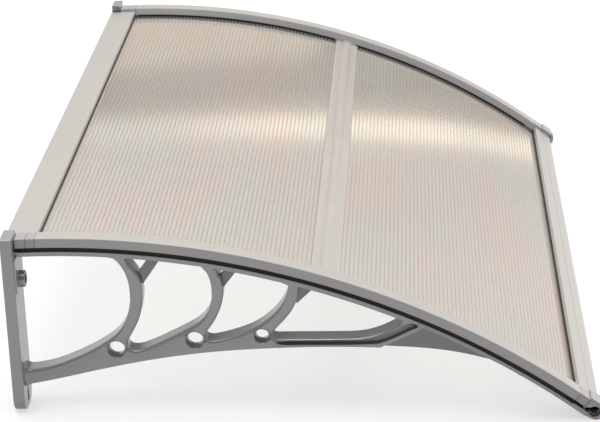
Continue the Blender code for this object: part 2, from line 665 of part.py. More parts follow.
def round_nose(t, n, radius, top, steps, last=0.0):
    """Points from a flat top round to the front of a circle, whose radius grows towards the top."""
    out = []
    for k in range(steps + 1):
        a = math.pi / 2 + (last - math.pi / 2) * k / steps
        reach = radius + (top - n - radius) * math.sin(a)
        out.append((t + reach * math.cos(a), n + reach * math.sin(a)))
    return out


def make_front_cap(tag, x, plastic):
    """Cap on the end of the front bar: it wraps the gutter from above and meets the hook in front."""
    ct, cn = GUTTER_AT
    inner = GUTTER_RADIUS + FIT
    last = FRONT_ANGLE + HOOK_END - 2 * math.pi + HOOK_GAP
    line = [(FRONT_SEAM, CAP_PROUD)]
    line += round_nose(ct, cn, inner + CAP_WALL, CAP_PROUD, 6, last)
    line += circle((ct, cn), inner, 10, last, math.pi - last, closed=False)
    foot = -COVER_HEIGHT - CAP_FOOT_HEIGHT
    line += [(ct - inner, -COVER_HEIGHT), (FRONT_SEAM + CAP_FOOT, -COVER_HEIGHT),
             (FRONT_SEAM + CAP_FOOT, foot), (FRONT_SEAM, foot)]
    cap = prism('cap', [in_front(*p) for p in line], x(0), x(RAIL_WIDTH))
    high = -(BAR_TOP_DROP + BAR_WALL + TONGUE_PLAY)
    low = -(COVER_HEIGHT - TONGUE_PLAY)
    first, last = FRONT_SEAM + TONGUE_INSET, ct - GUTTER_RADIUS - TONGUE_INSET
    plug = [in_front(first, high), in_front(last, high), in_front(last, low), in_front(first, low)]
    join(cap, prism('plug', plug, x(RAIL_WIDTH - OVER), x(RAIL_WIDTH + TONGUE_LENGTH)))
    finish(cap, f'front_cap_{tag}', plastic)


def make_rear_bar(metal, rubber):
    """C-shaped extrusion along the wall; its mouth takes the rear sheet."""
    half = RAIL_INNER - FIT
    w, e = BAR_WALL, REAR_BAR_WIDTH
    outline = [(0.0, at(0.0, BAR_TOP_DROP)[1]), at(e / 2, BAR_TOP_DROP), at(e, BAR_TOP_DROP),
               at(e, SEAL_DROP - FIT), at(e - w, SEAL_DROP - FIT), at(e - w, BAR_TOP_DROP + w),
               (w, at(w, BAR_TOP_DROP + w)[1]), (w, at(w, FLANGE_DROP)[1]), at(e, FLANGE_DROP),
               at(e, FLANGE_DROP + w), (0.0, at(0.0, FLANGE_DROP + w)[1])]
    finish(prism('bar', outline, -half, half), 'rear_bar', metal)
    start = e - w - FIT
    outline = [at(start, SEAL_DROP), at(start + BAR_SEAL_WIDTH, SEAL_DROP),
               at(start + BAR_SEAL_WIDTH, COVER_HEIGHT), at(start, COVER_HEIGHT)]
    finish(prism('seal', outline, -half, half), 'rear_seal', rubber)


def make_front_bar(metal, rubber):
    """Front extrusion: a mouth for the sheet, a grooved top and a round gutter along its lower edge."""
    w, r = BAR_WALL, GUTTER_RADIUS
    ct, cn = GUTTER_AT
    top = -BAR_TOP_DROP
    g0, g1, g2 = FRONT_GROOVE_AT, FRONT_GROOVE_WIDTH, FRONT_GROOVE_DEPTH
    line = [(0.0, top), (g0, top), (g0 + g1 / 2, top - g2), (g0 + g1, top)]
    line += round_nose(ct, cn, r, top, 8)
    line += circle((ct, cn), r, 8, 0.0, -math.pi / 2, closed=False)[1:]
    line += [(0.0, cn - r), (0.0, -FLANGE_DROP)]
    mouth = math.pi + GUTTER_MOUTH
    line.append((ct + r * math.cos(mouth), -FLANGE_DROP))
    line += circle((ct, cn), r - GUTTER_WALL, 20, mouth, 2 * math.pi - GUTTER_MOUTH, closed=False)
    line += [(ct - r, cn), (ct - r, top - w), (w, top - w), (w, -(SEAL_DROP - FIT)),
             (0.0, -(SEAL_DROP - FIT))]
    bar = prism('bar', [in_front(*p) for p in line], -RAIL_OUTER, RAIL_OUTER)
    wide = CAP_PROUD + COVER_HEIGHT + FLANGE_UNDER
    box = [(-wide, wide), (ct + wide, wide), (ct + wide, -wide), (-wide, -wide)]
    for side in (-1, 1):
        end = prism('end', [in_front(*p) for p in box], side * (RAIL_INNER - FIT), side * (RAIL_OUTER + OVER))
        cut(end, prism('gutter', circle(in_front(ct, cn), r - SLIVER, 24), side * (RAIL_INNER - 2 * OVER),
                       side * (RAIL_OUTER + 2 * OVER)))
        cut(bar, end)
    finish(bar, 'front_bar', metal)
    half = RAIL_INNER - FIT
    outline = [in_front(w + FIT - BAR_SEAL_WIDTH, -SEAL_DROP), in_front(w + FIT, -SEAL_DROP),
               in_front(w + FIT, -COVER_HEIGHT), in_front(w + FIT - BAR_SEAL_WIDTH, -COVER_HEIGHT)]
    finish(prism('seal', outline, -half, half), 'front_seal', rubber)


def make_joint_strip(mat):
    """H-shaped strip between the two sheets, with a round ridge along its top."""
    angle = angle_at(STRIP_REACH)
    half = RAIL_INNER - FIT
    top, low = -COVER_HEIGHT, -FLANGE_DROP
    f, ridge = STRIP_FLANGE, STRIP_RIDGE_WIDTH / 2
    a, b, web = STRIP_TOP_WIDTH / 2, STRIP_BOTTOM_WIDTH / 2, STRIP_WEB / 2
    line = [(-a, top), (-a, top + STRIP_EDGE), (-a + STRIP_TAPER, top + f), (-ridge, top + f)]
    for k in range(1, 10):
        t = math.pi * (1 - k / 10)
        line.append((ridge * math.cos(t), top + f + STRIP_RIDGE_HEIGHT * math.sin(t)))
    line += [(ridge, top + f), (a - STRIP_TAPER, top + f), (a, top + STRIP_EDGE), (a, top), (web, top),
             (web, low), (b, low), (b, low - f), (-b, low - f), (-b, low), (-web, low), (-web, top)]
    u0, z0 = on_arc(angle, 0)
    c, s = math.cos(angle), math.sin(angle)
    outline = [(u0 + t * c + n * s, z0 - t * s + n * c) for t, n in line]
    finish(prism('strip', outline, -half, half), 'joint_strip', mat)


def main():
    for obj in list(bpy.data.objects):
        bpy.data.objects.remove(obj, do_unlink=True)
    plastic = material('grey moulded plastic', (0.235, 0.240, 0.255), 0.42)
    metal = material('silver aluminium', (0.62, 0.60, 0.57), 0.35, 0.8)
    clear = material('clear polycarbonate', (0.78, 0.77, 0.74), 0.12, 0.0, 0.55)
    strip = material('frosted polycarbonate', (0.74, 0.73, 0.71), 0.25, 0.0, 0.8)
    rubber = material('black rubber', (0.012, 0.012, 0.013), 0.7)
    steel = material('zinc plated steel', (0.55, 0.55, 0.53), 0.3, 1.0)
    for side in (-1, 1):
        make_bracket(side, plastic)
        make_side_rail(side, metal, plastic, rubber, steel)
    make_rear_bar(metal, rubber)
    make_front_bar(metal, rubber)
    make_joint_strip(strip)
    twin_wall_sheet('rear_sheet', REAR_SHEET, clear)
    twin_wall_sheet('front_sheet', FRONT_SHEET, clear)


main()
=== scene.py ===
"""Polycarbonate door canopy: the finish of every visible piece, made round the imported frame.

Metres, +Z up. The wall is the plane Y = 0, the canopy reaches out along -Y and X runs along the wall.
A side-view point is (reach, height): reach is -Y, and height counts from the covers' arc at the wall.
"""

import bpy
import numpy as np
from mathutils import Matrix, Vector, geometry


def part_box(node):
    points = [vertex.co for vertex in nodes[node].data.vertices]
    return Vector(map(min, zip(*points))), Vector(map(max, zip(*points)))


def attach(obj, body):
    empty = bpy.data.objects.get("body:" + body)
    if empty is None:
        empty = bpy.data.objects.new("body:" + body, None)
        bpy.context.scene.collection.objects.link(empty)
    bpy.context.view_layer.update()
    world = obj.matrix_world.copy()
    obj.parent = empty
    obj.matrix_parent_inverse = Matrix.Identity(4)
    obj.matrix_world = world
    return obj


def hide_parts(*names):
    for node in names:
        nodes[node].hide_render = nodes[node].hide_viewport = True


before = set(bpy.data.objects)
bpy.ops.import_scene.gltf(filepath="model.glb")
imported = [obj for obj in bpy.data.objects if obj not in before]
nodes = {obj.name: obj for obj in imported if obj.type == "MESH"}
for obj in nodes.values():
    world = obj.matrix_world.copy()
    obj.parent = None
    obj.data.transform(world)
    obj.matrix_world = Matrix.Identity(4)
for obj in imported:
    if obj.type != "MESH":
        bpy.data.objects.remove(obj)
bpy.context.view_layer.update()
scene = bpy.context.scene
scene.view_settings.view_transform = "Standard"


# The canopy stands on a pale studio floor, on the feet of its wall plates and on the underside of its
# front hooks, so the floor leans by two degrees against the frame. The camera looks along the wall,
# from past the left bracket and above the roof.

camera = bpy.data.objects.new("camera", bpy.data.cameras.new("camera"))
scene.collection.objects.link(camera)
scene.camera = camera
camera.data.lens = 130.35
camera.data.sensor_width = 36.0
camera.data.clip_end = 60.0
camera_place = Vector((-3.23836, -0.55814, 1.04507))
look = Vector((0.9344, 0.05665, -0.3517)).normalized()
right = Vector((0.04702, -0.99825, -0.03586)).normalized()
up = right.cross(look)
camera.matrix_world = Matrix.Translation(camera_place) @ Matrix((right, up, -look)).transposed().to_4x4()

plate_low_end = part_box("bracket_left")[0].z
foot_height = -0.236
hook_reach = 0.788
floor_slope = (plate_low_end - foot_height) / hook_reach
floor_half = 14.0


def feed(fed, *inputs, **values):
    """Values for a node's inputs, in their order or by name. A value that is a node's output gets linked.

    An underscore in a name stands for a space.
    """
    named = [(fed.inputs[name.replace("_", " ")], value) for name, value in values.items()]
    for socket, value in list(zip(fed.inputs, inputs)) + named:
        if isinstance(value, bpy.types.NodeSocket):
            fed.id_data.links.new(value, socket)
        else:
            socket.default_value = value


def node(tree, kind, *inputs, **values):
    """New shader node. Names in small letters are its settings, and the rest goes to its inputs."""
    new = tree.nodes.new("ShaderNode" + kind)
    for name in [name for name in values if name.islower()]:
        setattr(new, name, values.pop(name))
    feed(new, *inputs, **values)
    return new


def maths(tree, kind, *values):
    """Math node of a kind; each value is a number or another node's output. Returns its output."""
    return node(tree, "Math", *values, operation=kind).outputs[0]


floor_corners = [(x * floor_half, -u * floor_half, foot_height + floor_slope * u * floor_half - 0.0004)
                 for x, u in ((-1, -1), (1, -1), (1, 1), (-1, 1))]
floor_mesh = bpy.data.meshes.new("studio_floor")
floor_mesh.from_pydata(floor_corners, [], [(3, 2, 1, 0)])
floor = bpy.data.objects.new("studio_floor", floor_mesh)
scene.collection.objects.link(floor)

paper = bpy.data.materials.new("studio paper")
paper.use_nodes = True
tree = paper.node_tree
tree.nodes.clear()
rays = node(tree, "LightPath").outputs
seen = maths(tree, "MAXIMUM", rays["Is Camera Ray"], rays["Is Glossy Ray"])
seen = maths(tree, "MAXIMUM", seen, rays["Is Transmission Ray"])
grey = node(tree, "BsdfDiffuse", Color=(0.42, 0.41, 0.4, 1))
white = node(tree, "BsdfDiffuse", Color=(0.5, 0.5, 0.5, 1))
glow = node(tree, "Emission", Color=(1, 1, 1, 1), Strength=0.57)
lit = node(tree, "AddShader", white.outputs[0], glow.outputs[0])
mixed = node(tree, "MixShader", seen, grey.outputs[0], lit.outputs[0])
node(tree, "OutputMaterial", Surface=mixed.outputs[0])
floor_mesh.materials.append(paper)

# Soft light: a box overhead, a wide warm one in front, and a pale room. The room is dim behind the
# camera, which keeps the faces turned that way darker than the tops. Far along the wall it has a low
# bright strip, a fainter one and a dark band, and their reflections run across the ribs of the sheets.

for name, place, aim, width, height, power, colour in (
        ("overhead_box", (-0.6, -0.1, 2.5), (-0.2, -0.3, 0.0), 1.4, 3.0, 36.0, (1.0, 0.98, 0.95)),
        ("front_box", (0.9, -3.6, 0.7), (0.0, -0.3, -0.1), 2.6, 1.3, 36.0, (1.0, 0.94, 0.86))):
    light = bpy.data.lights.new(name, "AREA")
    light.shape = "RECTANGLE"
    light.size, light.size_y = width, height
    light.energy = power
    light.color = colour
    lamp = bpy.data.objects.new(name, light)
    lamp.location = place
    lamp.rotation_euler = (Vector(aim) - Vector(place)).to_track_quat("-Z", "Y").to_euler()
    scene.collection.objects.link(lamp)


def between(tree, value, low, high, to_low=0.0, to_high=1.0):
    """Smooth step of a value from low to high. Returns its output."""
    step = node(tree, "MapRange", interpolation_type="SMOOTHSTEP", Value=value, From_Min=low,
                From_Max=high, To_Min=to_low, To_Max=to_high)
    return step.outputs["Result"]


def times(tree, product, *values):
    """Product of outputs and numbers. Returns its output."""
    for value in values:
        product = maths(tree, "MULTIPLY", product, value)
    return product


world = bpy.data.worlds.new("room")
scene.world = world
world.use_nodes = True
tree = world.node_tree
tree.nodes.clear()
split = node(tree, "SeparateXYZ", node(tree, "TexCoord").outputs["Generated"]).outputs
along = split["X"]
across_room = node(tree, "MapRange", Value=along, From_Min=-1.0)
shade = node(tree, "ValToRGB", across_room.outputs["Result"])
ramp = shade.color_ramp
ramp.elements[0].color = (0.07, 0.08, 0.1, 1)
ramp.elements[1].color = (0.98, 0.96, 0.94, 1)
for place, colour in ((0.18, (0.12, 0.13, 0.155, 1)), (0.5, (0.92, 0.91, 0.9, 1)),
                      (0.84, (1.0, 0.96, 0.9, 1)), (0.95, (1.0, 0.96, 0.91, 1))):
    ramp.elements.new(place).color = colour
# The strips follow a curve: along + 0.0082 (turn - 0.663)^2 is the same all over each, where turn is the
# angle round the X axis, from straight up towards the front.
turn = maths(tree, "ARCTAN2", times(tree, split["Y"], -1.0), split["Z"])
shifted = maths(tree, "ADD", turn, -0.663)
strip_place = maths(tree, "MULTIPLY_ADD", times(tree, shifted, shifted), 0.0082, along)
bright = times(tree, between(tree, strip_place, 0.9463, 0.947), between(tree, strip_place, 0.9501, 0.9495),
               between(tree, turn, -0.35, 0.35, 0.3, 1.0), between(tree, turn, 0.9, 1.2, 1.0, 0.65))
second = times(tree, between(tree, strip_place, 0.9572, 0.959), between(tree, turn, 0.5, 0.28))
dark = maths(tree, "MULTIPLY_ADD", between(tree, strip_place, 0.9497, 0.9507), -0.8, 1.0)
room_level = times(tree, between(tree, along, 0.946, 0.915, 0.75, 1.12), dark)
strip_level = times(tree, maths(tree, "MULTIPLY_ADD", second, 0.35, bright), 2.0)
room = node(tree, "Background", Color=shade.outputs["Color"], Strength=room_level)
strip = node(tree, "Background", Color=(1.0, 0.84, 0.62, 1), Strength=strip_level)
both = node(tree, "AddShader", room.outputs[0], strip.outputs[0])
white = node(tree, "Background", Color=(1, 1, 1, 1))
camera_ray = node(tree, "LightPath").outputs["Is Camera Ray"]
mixed = node(tree, "MixShader", camera_ray, both.outputs[0], white.outputs[0])
node(tree, "OutputWorld", Surface=mixed.outputs[0])


# Brackets: one injection-moulded piece each, of silver-grey plastic. A wall plate with its screw boss
# and slot, an arm pierced by four openings with a rounded bead round each, thin webs at the branches,
# and an arched flange that ends in a hook under the front gutter.

half_span = 0.57            # from the middle of the canopy to the middle of a bracket
bend = 1.191                 # radius of the arc that the covers' top faces follow
crown = 0.055                # reach of the arc's highest point
lift = 0.012                 # height of the arc at the wall over the frame's origin
rail_half = 0.015
panel_half = 0.011
web_half = 0.004
flange_top = 0.0182          # drop of the flange's two faces under the arc
flange_under = 0.0252
plate_front = 0.0155
bend_height = -np.sqrt(bend ** 2 - crown ** 2)
front_reach = 0.762
front_lean = np.arcsin((front_reach - crown) / bend)
gutter = (0.036, -0.0122)    # centre of the gutter, down the front slope and out of it
seat_radius = 0.0081


def round_bend(angle, drop):
    """Side-view points at angles round the bend's centre, a drop under the arc."""
    r = bend - drop
    return np.stack([crown + r * np.sin(angle), bend_height + r * np.cos(angle)], -1)


def under_arc(reach, drop):
    """Side-view points at reaches on the arc, moved by drop towards the bend's centre."""
    return round_bend(np.arcsin((reach - crown) / bend), drop)


def on_slope(reach, t, out):
    """Side-view points in the frame of the arc at a reach: t down the slope there, out square to it."""
    start, lean = under_arc(reach, 0.0), np.arcsin((reach - crown) / bend)
    c, s = np.cos(lean), np.sin(lean)
    t, out = np.broadcast_arrays(t, out)
    return np.stack([start[0] + t * c + out * s, start[1] - t * s + out * c], -1)


def down_front(t, out):
    """Side-view points in the front bar's frame, which lies on the arc at the front reach."""
    return on_slope(front_reach, t, out)


def hung(points):
    """Side-view points from (reach, fall) in tenths of a millimetre; fall is straight down from the arc."""
    p = np.array(points) / 10000
    p[:, 1] = under_arc(p[:, 0], 0.0)[:, 1] - p[:, 1]
    return p


def through(points, steps=8):
    """Side-view Catmull-Rom curve through (reach, fall) points in tenths of a millimetre."""
    p = hung(points)
    p = np.vstack([2 * p[0] - p[1], p, 2 * p[-1] - p[-2]])
    a, b, c, d = p[:-3, None], p[1:-2, None], p[2:-1, None], p[3:, None]
    t = (np.arange(steps) / steps)[None, :, None]
    curve = 0.5 * (2 * b + (c - a) * t + (2 * a - 5 * b + 4 * c - d) * t ** 2
                   + (3 * b - a - 3 * c + d) * t ** 3)
    return np.vstack([curve.reshape(-1, 2), p[-2]])


def circle_arc(centre, radius, start, end, steps):
    """Points centre + radius (cos a, sin a) for a from start to end, both in degrees."""
    a = np.radians(np.linspace(start, end, steps))
    return np.asarray(centre) + radius * np.stack([np.cos(a), np.sin(a)], -1)


def evenly(loop, step, soft=0.0):
    """Closed curve at even steps; corners are rounded by averaging twice over a length of soft."""
    closed = np.vstack([loop, loop[:1]])
    length = np.concatenate([[0.0], np.cumsum(np.linalg.norm(np.diff(closed, axis=0), axis=1))])
    count = int(length[-1] / 0.0002)
    even = np.linspace(0.0, length[-1], count, endpoint=False)
    fine = np.stack([np.interp(even, length, closed[:, k]) for k in (0, 1)], -1)
    width = int(soft / 0.0002) // 2 * 2 + 1
    for _ in range(2 if width > 1 else 0):
        ring = np.vstack([fine[-width:], fine, fine[:width]])
        total = np.vstack([[[0.0, 0.0]], np.cumsum(ring, axis=0)])
        mean = (total[width:] - total[:-width]) / width
        fine = mean[width // 2 + 1:width // 2 + 1 + count]
    take = np.linspace(0, len(fine), max(8, int(length[-1] / step)), endpoint=False).astype(int)
    return fine[take]


def turned(loop, left):
    """The closed curve with its inside on the left, or on the right."""
    nxt = np.roll(loop, -1, 0)
    area = (loop[:, 0] * nxt[:, 1] - nxt[:, 0] * loop[:, 1]).sum()
    return loop if (area > 0) == left else loop[::-1]


def square_off(loop):
    """Unit vectors to the left of a closed curve, square to the line between each point's neighbours."""
    along = np.roll(loop, -1, 0) - np.roll(loop, 1, 0)
    return np.stack([-along[:, 1], along[:, 0]], -1) / np.linalg.norm(along, axis=1)[:, None]


def distance(points, loop):
    """Shortest distance from each point to a closed polyline: to the nearest point of its nearest side."""
    a, ab = loop, np.roll(loop, -1, 0) - loop
    out = np.empty(len(points))
    for part in np.array_split(np.arange(len(points)), len(points) // 1500 + 1):
        ap = points[part][:, None] - a
        t = np.clip((ap * ab).sum(-1) / (ab * ab).sum(-1), 0, 1)
        out[part] = np.sqrt(((ap - t[..., None] * ab) ** 2).sum(-1).min(1))
    return out


def inside(points, loop):
    """Whether each point lies in a closed polyline: an upright ray crosses it an odd number of times."""
    a, b = loop, np.roll(loop, -1, 0)
    out = np.empty(len(points), bool)
    for part in np.array_split(np.arange(len(points)), len(points) // 3000 + 1):
        x, y = points[part, 0][:, None], points[part, 1][:, None]
        over = (a[:, 0] > x) != (b[:, 0] > x)
        run = np.where(b[:, 0] == a[:, 0], 1.0, b[:, 0] - a[:, 0])
        cut = (b[:, 1] - a[:, 1]) * (x - a[:, 0]) / run + a[:, 1]
        out[part] = (over & (y < cut)).sum(1) % 2 == 1
    return out


def between_loops(points, loops):
    """Whether each point lies in the first closed polyline and in none of the others."""
    return inside(points, loops[0]) & ~np.any([inside(points, loop) for loop in loops[1:]], axis=0)


def ease(t):
    """Smooth step from 0 to 1: 3 t^2 - 2 t^3 on t held between 0 and 1."""
    t = np.clip(t, 0.0, 1.0)
    return t * t * (3 - 2 * t)


def net(outer, holes, rings, features, spacing):
    """Flat triangle net of a pierced region.

    Its points are the edges, rings of points at the given distances inside each edge, the points of
    the features, and a triangular grid in between. Delaunay triangles join them.
    """
    loops = [turned(outer, True)] + [turned(hole, False) for hole in holes]
    parts = []
    for loop, steps in zip(loops, rings):
        parts += [(loop + square_off(loop) * d, d * 0.985 - 1e-5) for d in steps]
    parts += [(points, 0.0006) for points in features]
    low, high = outer.min(0), outer.max(0)
    grid = []
    for k, row in enumerate(np.arange(low[1], high[1], spacing * 0.866)):
        across = np.arange(low[0] + spacing / 2 * (k % 2), high[0], spacing)
        grid.append(np.column_stack([across, np.full(len(across), row)]))
    parts.append((np.vstack(grid), max(max(steps) for steps in rings) + spacing * 0.4))
    kept = []
    for points, least in parts:
        near = np.min([distance(points, loop) for loop in loops], axis=0)
        kept.append(points[(near > least) & between_loops(points, loops)])
    edges, start = [], 0
    for loop in loops:
        k = np.arange(len(loop))
        edges.append(np.stack([start + k, start + (k + 1) % len(loop)], -1))
        start += len(loop)
    verts, _, faces, *_ = geometry.delaunay_2d_cdt([Vector(p) for p in np.vstack(loops + kept).tolist()],
                                                   np.vstack(edges).tolist(), [], 0, 1e-6)
    verts, faces = np.array(verts), np.array(faces)
    faces = faces[between_loops(verts[faces].mean(1), loops)]
    a, b, c = (verts[faces[:, k]] for k in range(3))
    flip = np.cross(b - a, c - a) < 0
    faces[flip] = faces[flip][:, ::-1]
    return verts, faces


def walled(faces, count):
    """Faces of a net and of its copy, whose points come count later, and walls along their free edges."""
    corners = faces.shape[1]
    edges = np.concatenate([faces[:, [k, (k + 1) % corners]] for k in range(corners)])
    key = edges.min(1) * count + edges.max(1)
    _, first, uses = np.unique(key, return_index=True, return_counts=True)
    i, j = edges[first[uses == 1]].T
    walls = np.stack([i, i + count, j + count, j], -1)
    return faces.tolist() + (faces[:, ::-1] + count).tolist() + walls.tolist()


def slab(verts, faces, high, low):
    """Closed skin over a net, between two heights at each point."""
    points = np.vstack([np.column_stack([verts, high]), np.column_stack([verts, low])])
    return points, walled(faces, len(verts))


def lathe(profile, centre, sides=40):
    """Turned closed skin round a line square to the wall: profile is (radius, reach), a closed curve."""
    radius, reach = np.array(profile).T[..., None]
    a = np.linspace(0, 2 * np.pi, sides, endpoint=False)
    points = np.stack([centre[0] + radius * np.cos(a), np.broadcast_to(-reach, (len(profile), sides)),
                       centre[1] + radius * np.sin(a)], -1).reshape(-1, 3)
    return points, wrap(len(profile), sides, True)


def wrap(rows, around, closed_rows=False):
    """Quads over a grid that closes on itself along each row, and from last row to first if asked."""
    r, c = np.meshgrid(np.arange(rows if closed_rows else rows - 1), np.arange(around), indexing="ij")
    nr, nc = (r + 1) % rows, (c + 1) % around
    quads = np.stack([r * around + c, nr * around + c, nr * around + nc, r * around + nc], -1)
    return quads.reshape(-1, 4).tolist()


def capped(rings):
    """Closed skin over an array of rings of points: quads between them and a face over each end."""
    rows, count = rings.shape[:2]
    ends = [list(range(count))[::-1], list(range((rows - 1) * count, rows * count))]
    return rings.reshape(-1, 3), wrap(rows, count) + ends


def each(items, name, kind=float, width=1):
    """One attribute of all the items of a mesh, as an array."""
    values = np.empty(len(items) * width, kind)
    items.foreach_get(name, values)
    return values


def even_shading(mesh, sharp=38.0):
    """Normals at the corners of the faces.

    Each is the mean of the normals of the faces round that vertex, weighted by their areas, over those
    that turn less than sharp degrees from the corner's own face. Wide faces next to small ones stay flat.
    """
    corner_vertex = each(mesh.loops, "vertex_index", int)
    size = each(mesh.polygons, "loop_total", int)
    area = each(mesh.polygons, "area")
    normal = each(mesh.polygons, "normal", width=3).reshape(-1, 3)
    face = np.repeat(np.arange(len(size)), size)
    order = np.argsort(corner_vertex, kind="stable")
    count = np.bincount(corner_vertex, minlength=len(mesh.vertices))
    start = np.concatenate([[0], np.cumsum(count)[:-1]])
    pairs = count[corner_vertex]
    own = np.repeat(np.arange(len(face)), pairs)
    step = np.arange(len(own)) - np.repeat(np.cumsum(pairs) - pairs, pairs)
    other = order[start[corner_vertex[own]] + step]
    near = (normal[face[own]] * normal[face[other]]).sum(1) > np.cos(np.radians(sharp))
    own, weight = own[near], (normal * area[:, None])[face[other[near]]]
    mean = np.stack([np.bincount(own, weight[:, k], len(face)) for k in range(3)], -1)
    mean /= np.maximum(np.linalg.norm(mean, axis=1), 1e-12)[:, None]
    mesh.normals_split_custom_set(mean.tolist())


def piece(name, shells, mat, replaced):
    """Mesh object in a CAD node's place, from closed skins (points, faces) turned to face outwards."""
    all_points, all_faces, start = [], [], 0
    for points, faces in shells:
        corner = np.array([[f[0], f[k], f[k + 1]] for f in faces for k in range(1, len(f) - 1)])
        a, b, c = (points[corner[:, k]] for k in range(3))
        if np.einsum("ij,ij->i", a, np.cross(b, c)).sum() < 0:
            faces = [f[::-1] for f in faces]
        all_points.append(points)
        all_faces += [[v + start for v in f] for f in faces]
        start += len(points)
    mesh = bpy.data.meshes.new(name)
    mesh.from_pydata(np.vstack(all_points).tolist(), [], all_faces)
    mesh.validate()
    mesh.shade_smooth()
    even_shading(mesh)
    mesh.materials.append(mat)
    obj = bpy.data.objects.new(name, mesh)
    scene.collection.objects.link(obj)
    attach(obj, "root")
    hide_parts(replaced)


def node_group(name, inputs, outputs):
    """Node group with sockets of the given kinds. Returns it, its given values and its output node."""
    group = bpy.data.node_groups.new(name, "ShaderNodeTree")
    for way, sockets in (("INPUT", inputs), ("OUTPUT", outputs)):
        for label, kind in sockets.items():
            group.interface.new_socket(label, in_out=way, socket_type="NodeSocket" + kind)
    return group, group.nodes.new("NodeGroupInput").outputs, group.nodes.new("NodeGroupOutput")


def grain_group():
    """Node group: fine moulded or rolled grain. Puts out a bumped normal and a mask of soft blotches."""
    group, given, results = node_group(
        "surface grain", {"Stretch": "Vector", "Scale": "Float", "Depth": "Float"},
        {"Normal": "Vector", "Blotch": "Float"})
    place = node(group, "TexCoord").outputs["Object"]
    stretched = node(group, "Mapping", Vector=place, Scale=given["Stretch"])
    fine = node(group, "TexNoise", Vector=stretched.outputs[0], Scale=given["Scale"], Detail=3.0)
    broad = node(group, "TexNoise", Vector=place, Scale=9.0, Detail=2.0)
    bump = node(group, "Bump", Height=fine.outputs["Fac"], Strength=given["Depth"], Distance=0.0004)
    feed(results, Normal=bump.outputs["Normal"], Blotch=broad.outputs["Fac"])
    return group


surface_grain = grain_group()


def painted_recess_shade(tree, tone):
    """Bracket colour with painted shade on the arm's recess floors: near the middle plane, turned along X.
    """
    place = node(tree, "TexCoord").outputs
    split = node(tree, "SeparateXYZ", place["Object"]).outputs
    facing = node(tree, "SeparateXYZ", place["Normal"]).outputs["X"]
    from_middle = maths(tree, "ADD", maths(tree, "ABSOLUTE", split["X"]), -half_span)
    # Painted shade: near the middle plane, on faces turned along X and past the plate, the colour darkens.
    recess_shade_mask = times(tree, between(tree, maths(tree, "ABSOLUTE", from_middle), 0.008, 0.0055),
                 between(tree, maths(tree, "ABSOLUTE", facing), 0.7, 0.95),
                 between(tree, split["Y"], -0.03, -0.04))
    level = maths(tree, "MULTIPLY_ADD", recess_shade_mask, -0.34, 1.0)
    return node(tree, "VectorMath", tone, operation="SCALE", Scale=level).outputs[0]


def principled(name):
    """New material, with its node tree and its shader."""
    mat = bpy.data.materials.new(name)
    mat.use_nodes = True
    return mat, mat.node_tree, mat.node_tree.nodes["Principled BSDF"]


def grain_on(tree, shader, dark, light, stretch, scale, depth):
    """Adds the grain to a shader's normal. Returns a colour between two tones, and the blotches' mask."""
    grain = node(tree, "Group", node_tree=surface_grain, Stretch=stretch, Scale=scale, Depth=depth)
    feed(shader, Normal=grain.outputs["Normal"])
    blotch = grain.outputs["Blotch"]
    tone = node(tree, "Mix", data_type="RGBA", Factor=blotch, A=(*dark, 1), B=(*light, 1))
    return tone.outputs["Result"], blotch


def grained(name, dark, light, roughness, metallic, stretch=(1, 1, 1), scale=900.0, depth=0.12,
            paint_recess_shade=False):
    """Grained material, its colour drifting softly between two close tones; if asked, painted recess shade.
    """
    mat, tree, shader = principled(name)
    tone, blotch = grain_on(tree, shader, dark, light, stretch, scale, depth)
    rough = node(tree, "MapRange", Value=blotch, To_Min=roughness * 0.88, To_Max=roughness * 1.12)
    feed(shader, Metallic=metallic, Roughness=rough.outputs["Result"],
         Base_Color=painted_recess_shade(tree, tone) if paint_recess_shade else tone)
    return mat


# The brackets' recess floors get painted shade.
bracket_plastic = grained("silver grey moulded plastic", (0.325, 0.33, 0.35), (0.35, 0.355, 0.375),
                          0.23, 0.35, paint_recess_shade=True)

# Curves of the bracket seen from the side, as (reach, fall) points in tenths of a millimetre.
underside = through([(120, 2140), (600, 2056), (1200, 1907), (1900, 1716), (2700, 1497), (3600, 1249),
                     (4500, 969), (5400, 656), (6000, 449), (6550, 291)])
opening_curves = [
    [(1460, 248), (1570, 399), (1630, 544), (1655, 731), (1640, 943), (1570, 1169), (1440, 1359),
     (1200, 1545), (930, 1697), (600, 1834), (330, 1892), (185, 1886), (125, 1800)],
    [(1600, 246), (1710, 376), (1795, 517), (1828, 704), (1815, 905), (1760, 1121), (1670, 1310),
     (1585, 1468), (1600, 1561), (1680, 1584), (1800, 1552), (2020, 1437), (2300, 1261), (2520, 1104),
     (2660, 944), (2735, 761), (2750, 558), (2715, 374), (2620, 236)],
    [(2800, 248), (2875, 364), (2908, 517), (2895, 690), (2840, 870), (2755, 1047), (2660, 1194),
     (2635, 1279), (2700, 1312), (2820, 1279), (3030, 1182), (3260, 1045), (3450, 879), (3620, 675),
     (3730, 470), (3790, 254)],
    [(3910, 259), (3895, 423), (3830, 602), (3720, 783), (3590, 958), (3520, 1066), (3580, 1101),
     (3720, 1068), (4300, 897), (4700, 751), (4950, 600), (5160, 419), (5310, 260)]]
thin_webs = [[(1790, 458), (1940, 231), (2100, 231), (1830, 644)],
             [(2870, 385), (2990, 210), (3130, 210), (2890, 571)],
             [(3880, 238), (4130, 242), (3870, 561)]]
bar_recess = [(3560, 1166), (3720, 1098), (4250, 940), (4650, 800), (4860, 688), (4980, 610), (5170, 470),
              (5340, 312), (5420, 268), (5490, 285), (5350, 415), (5160, 590), (4970, 740), (4840, 800),
              (4640, 880), (4250, 1012), (3860, 1128), (3660, 1180)]
front_recess = [(4940, 970), (4980, 815), (5160, 655), (5350, 480), (5620, 229)]
panel_top = [(-500, 1466), (1300, 1500), (1580, 1470), (2360, 1270), (2620, 1215), (3280, 1060),
             (3500, 990), (3720, 1043), (4200, 940), (5400, 260)]
round_holes = [((1425, 1601), 0.0098), ((2490, 1354), 0.0098), ((3395, 1123), 0.008)]
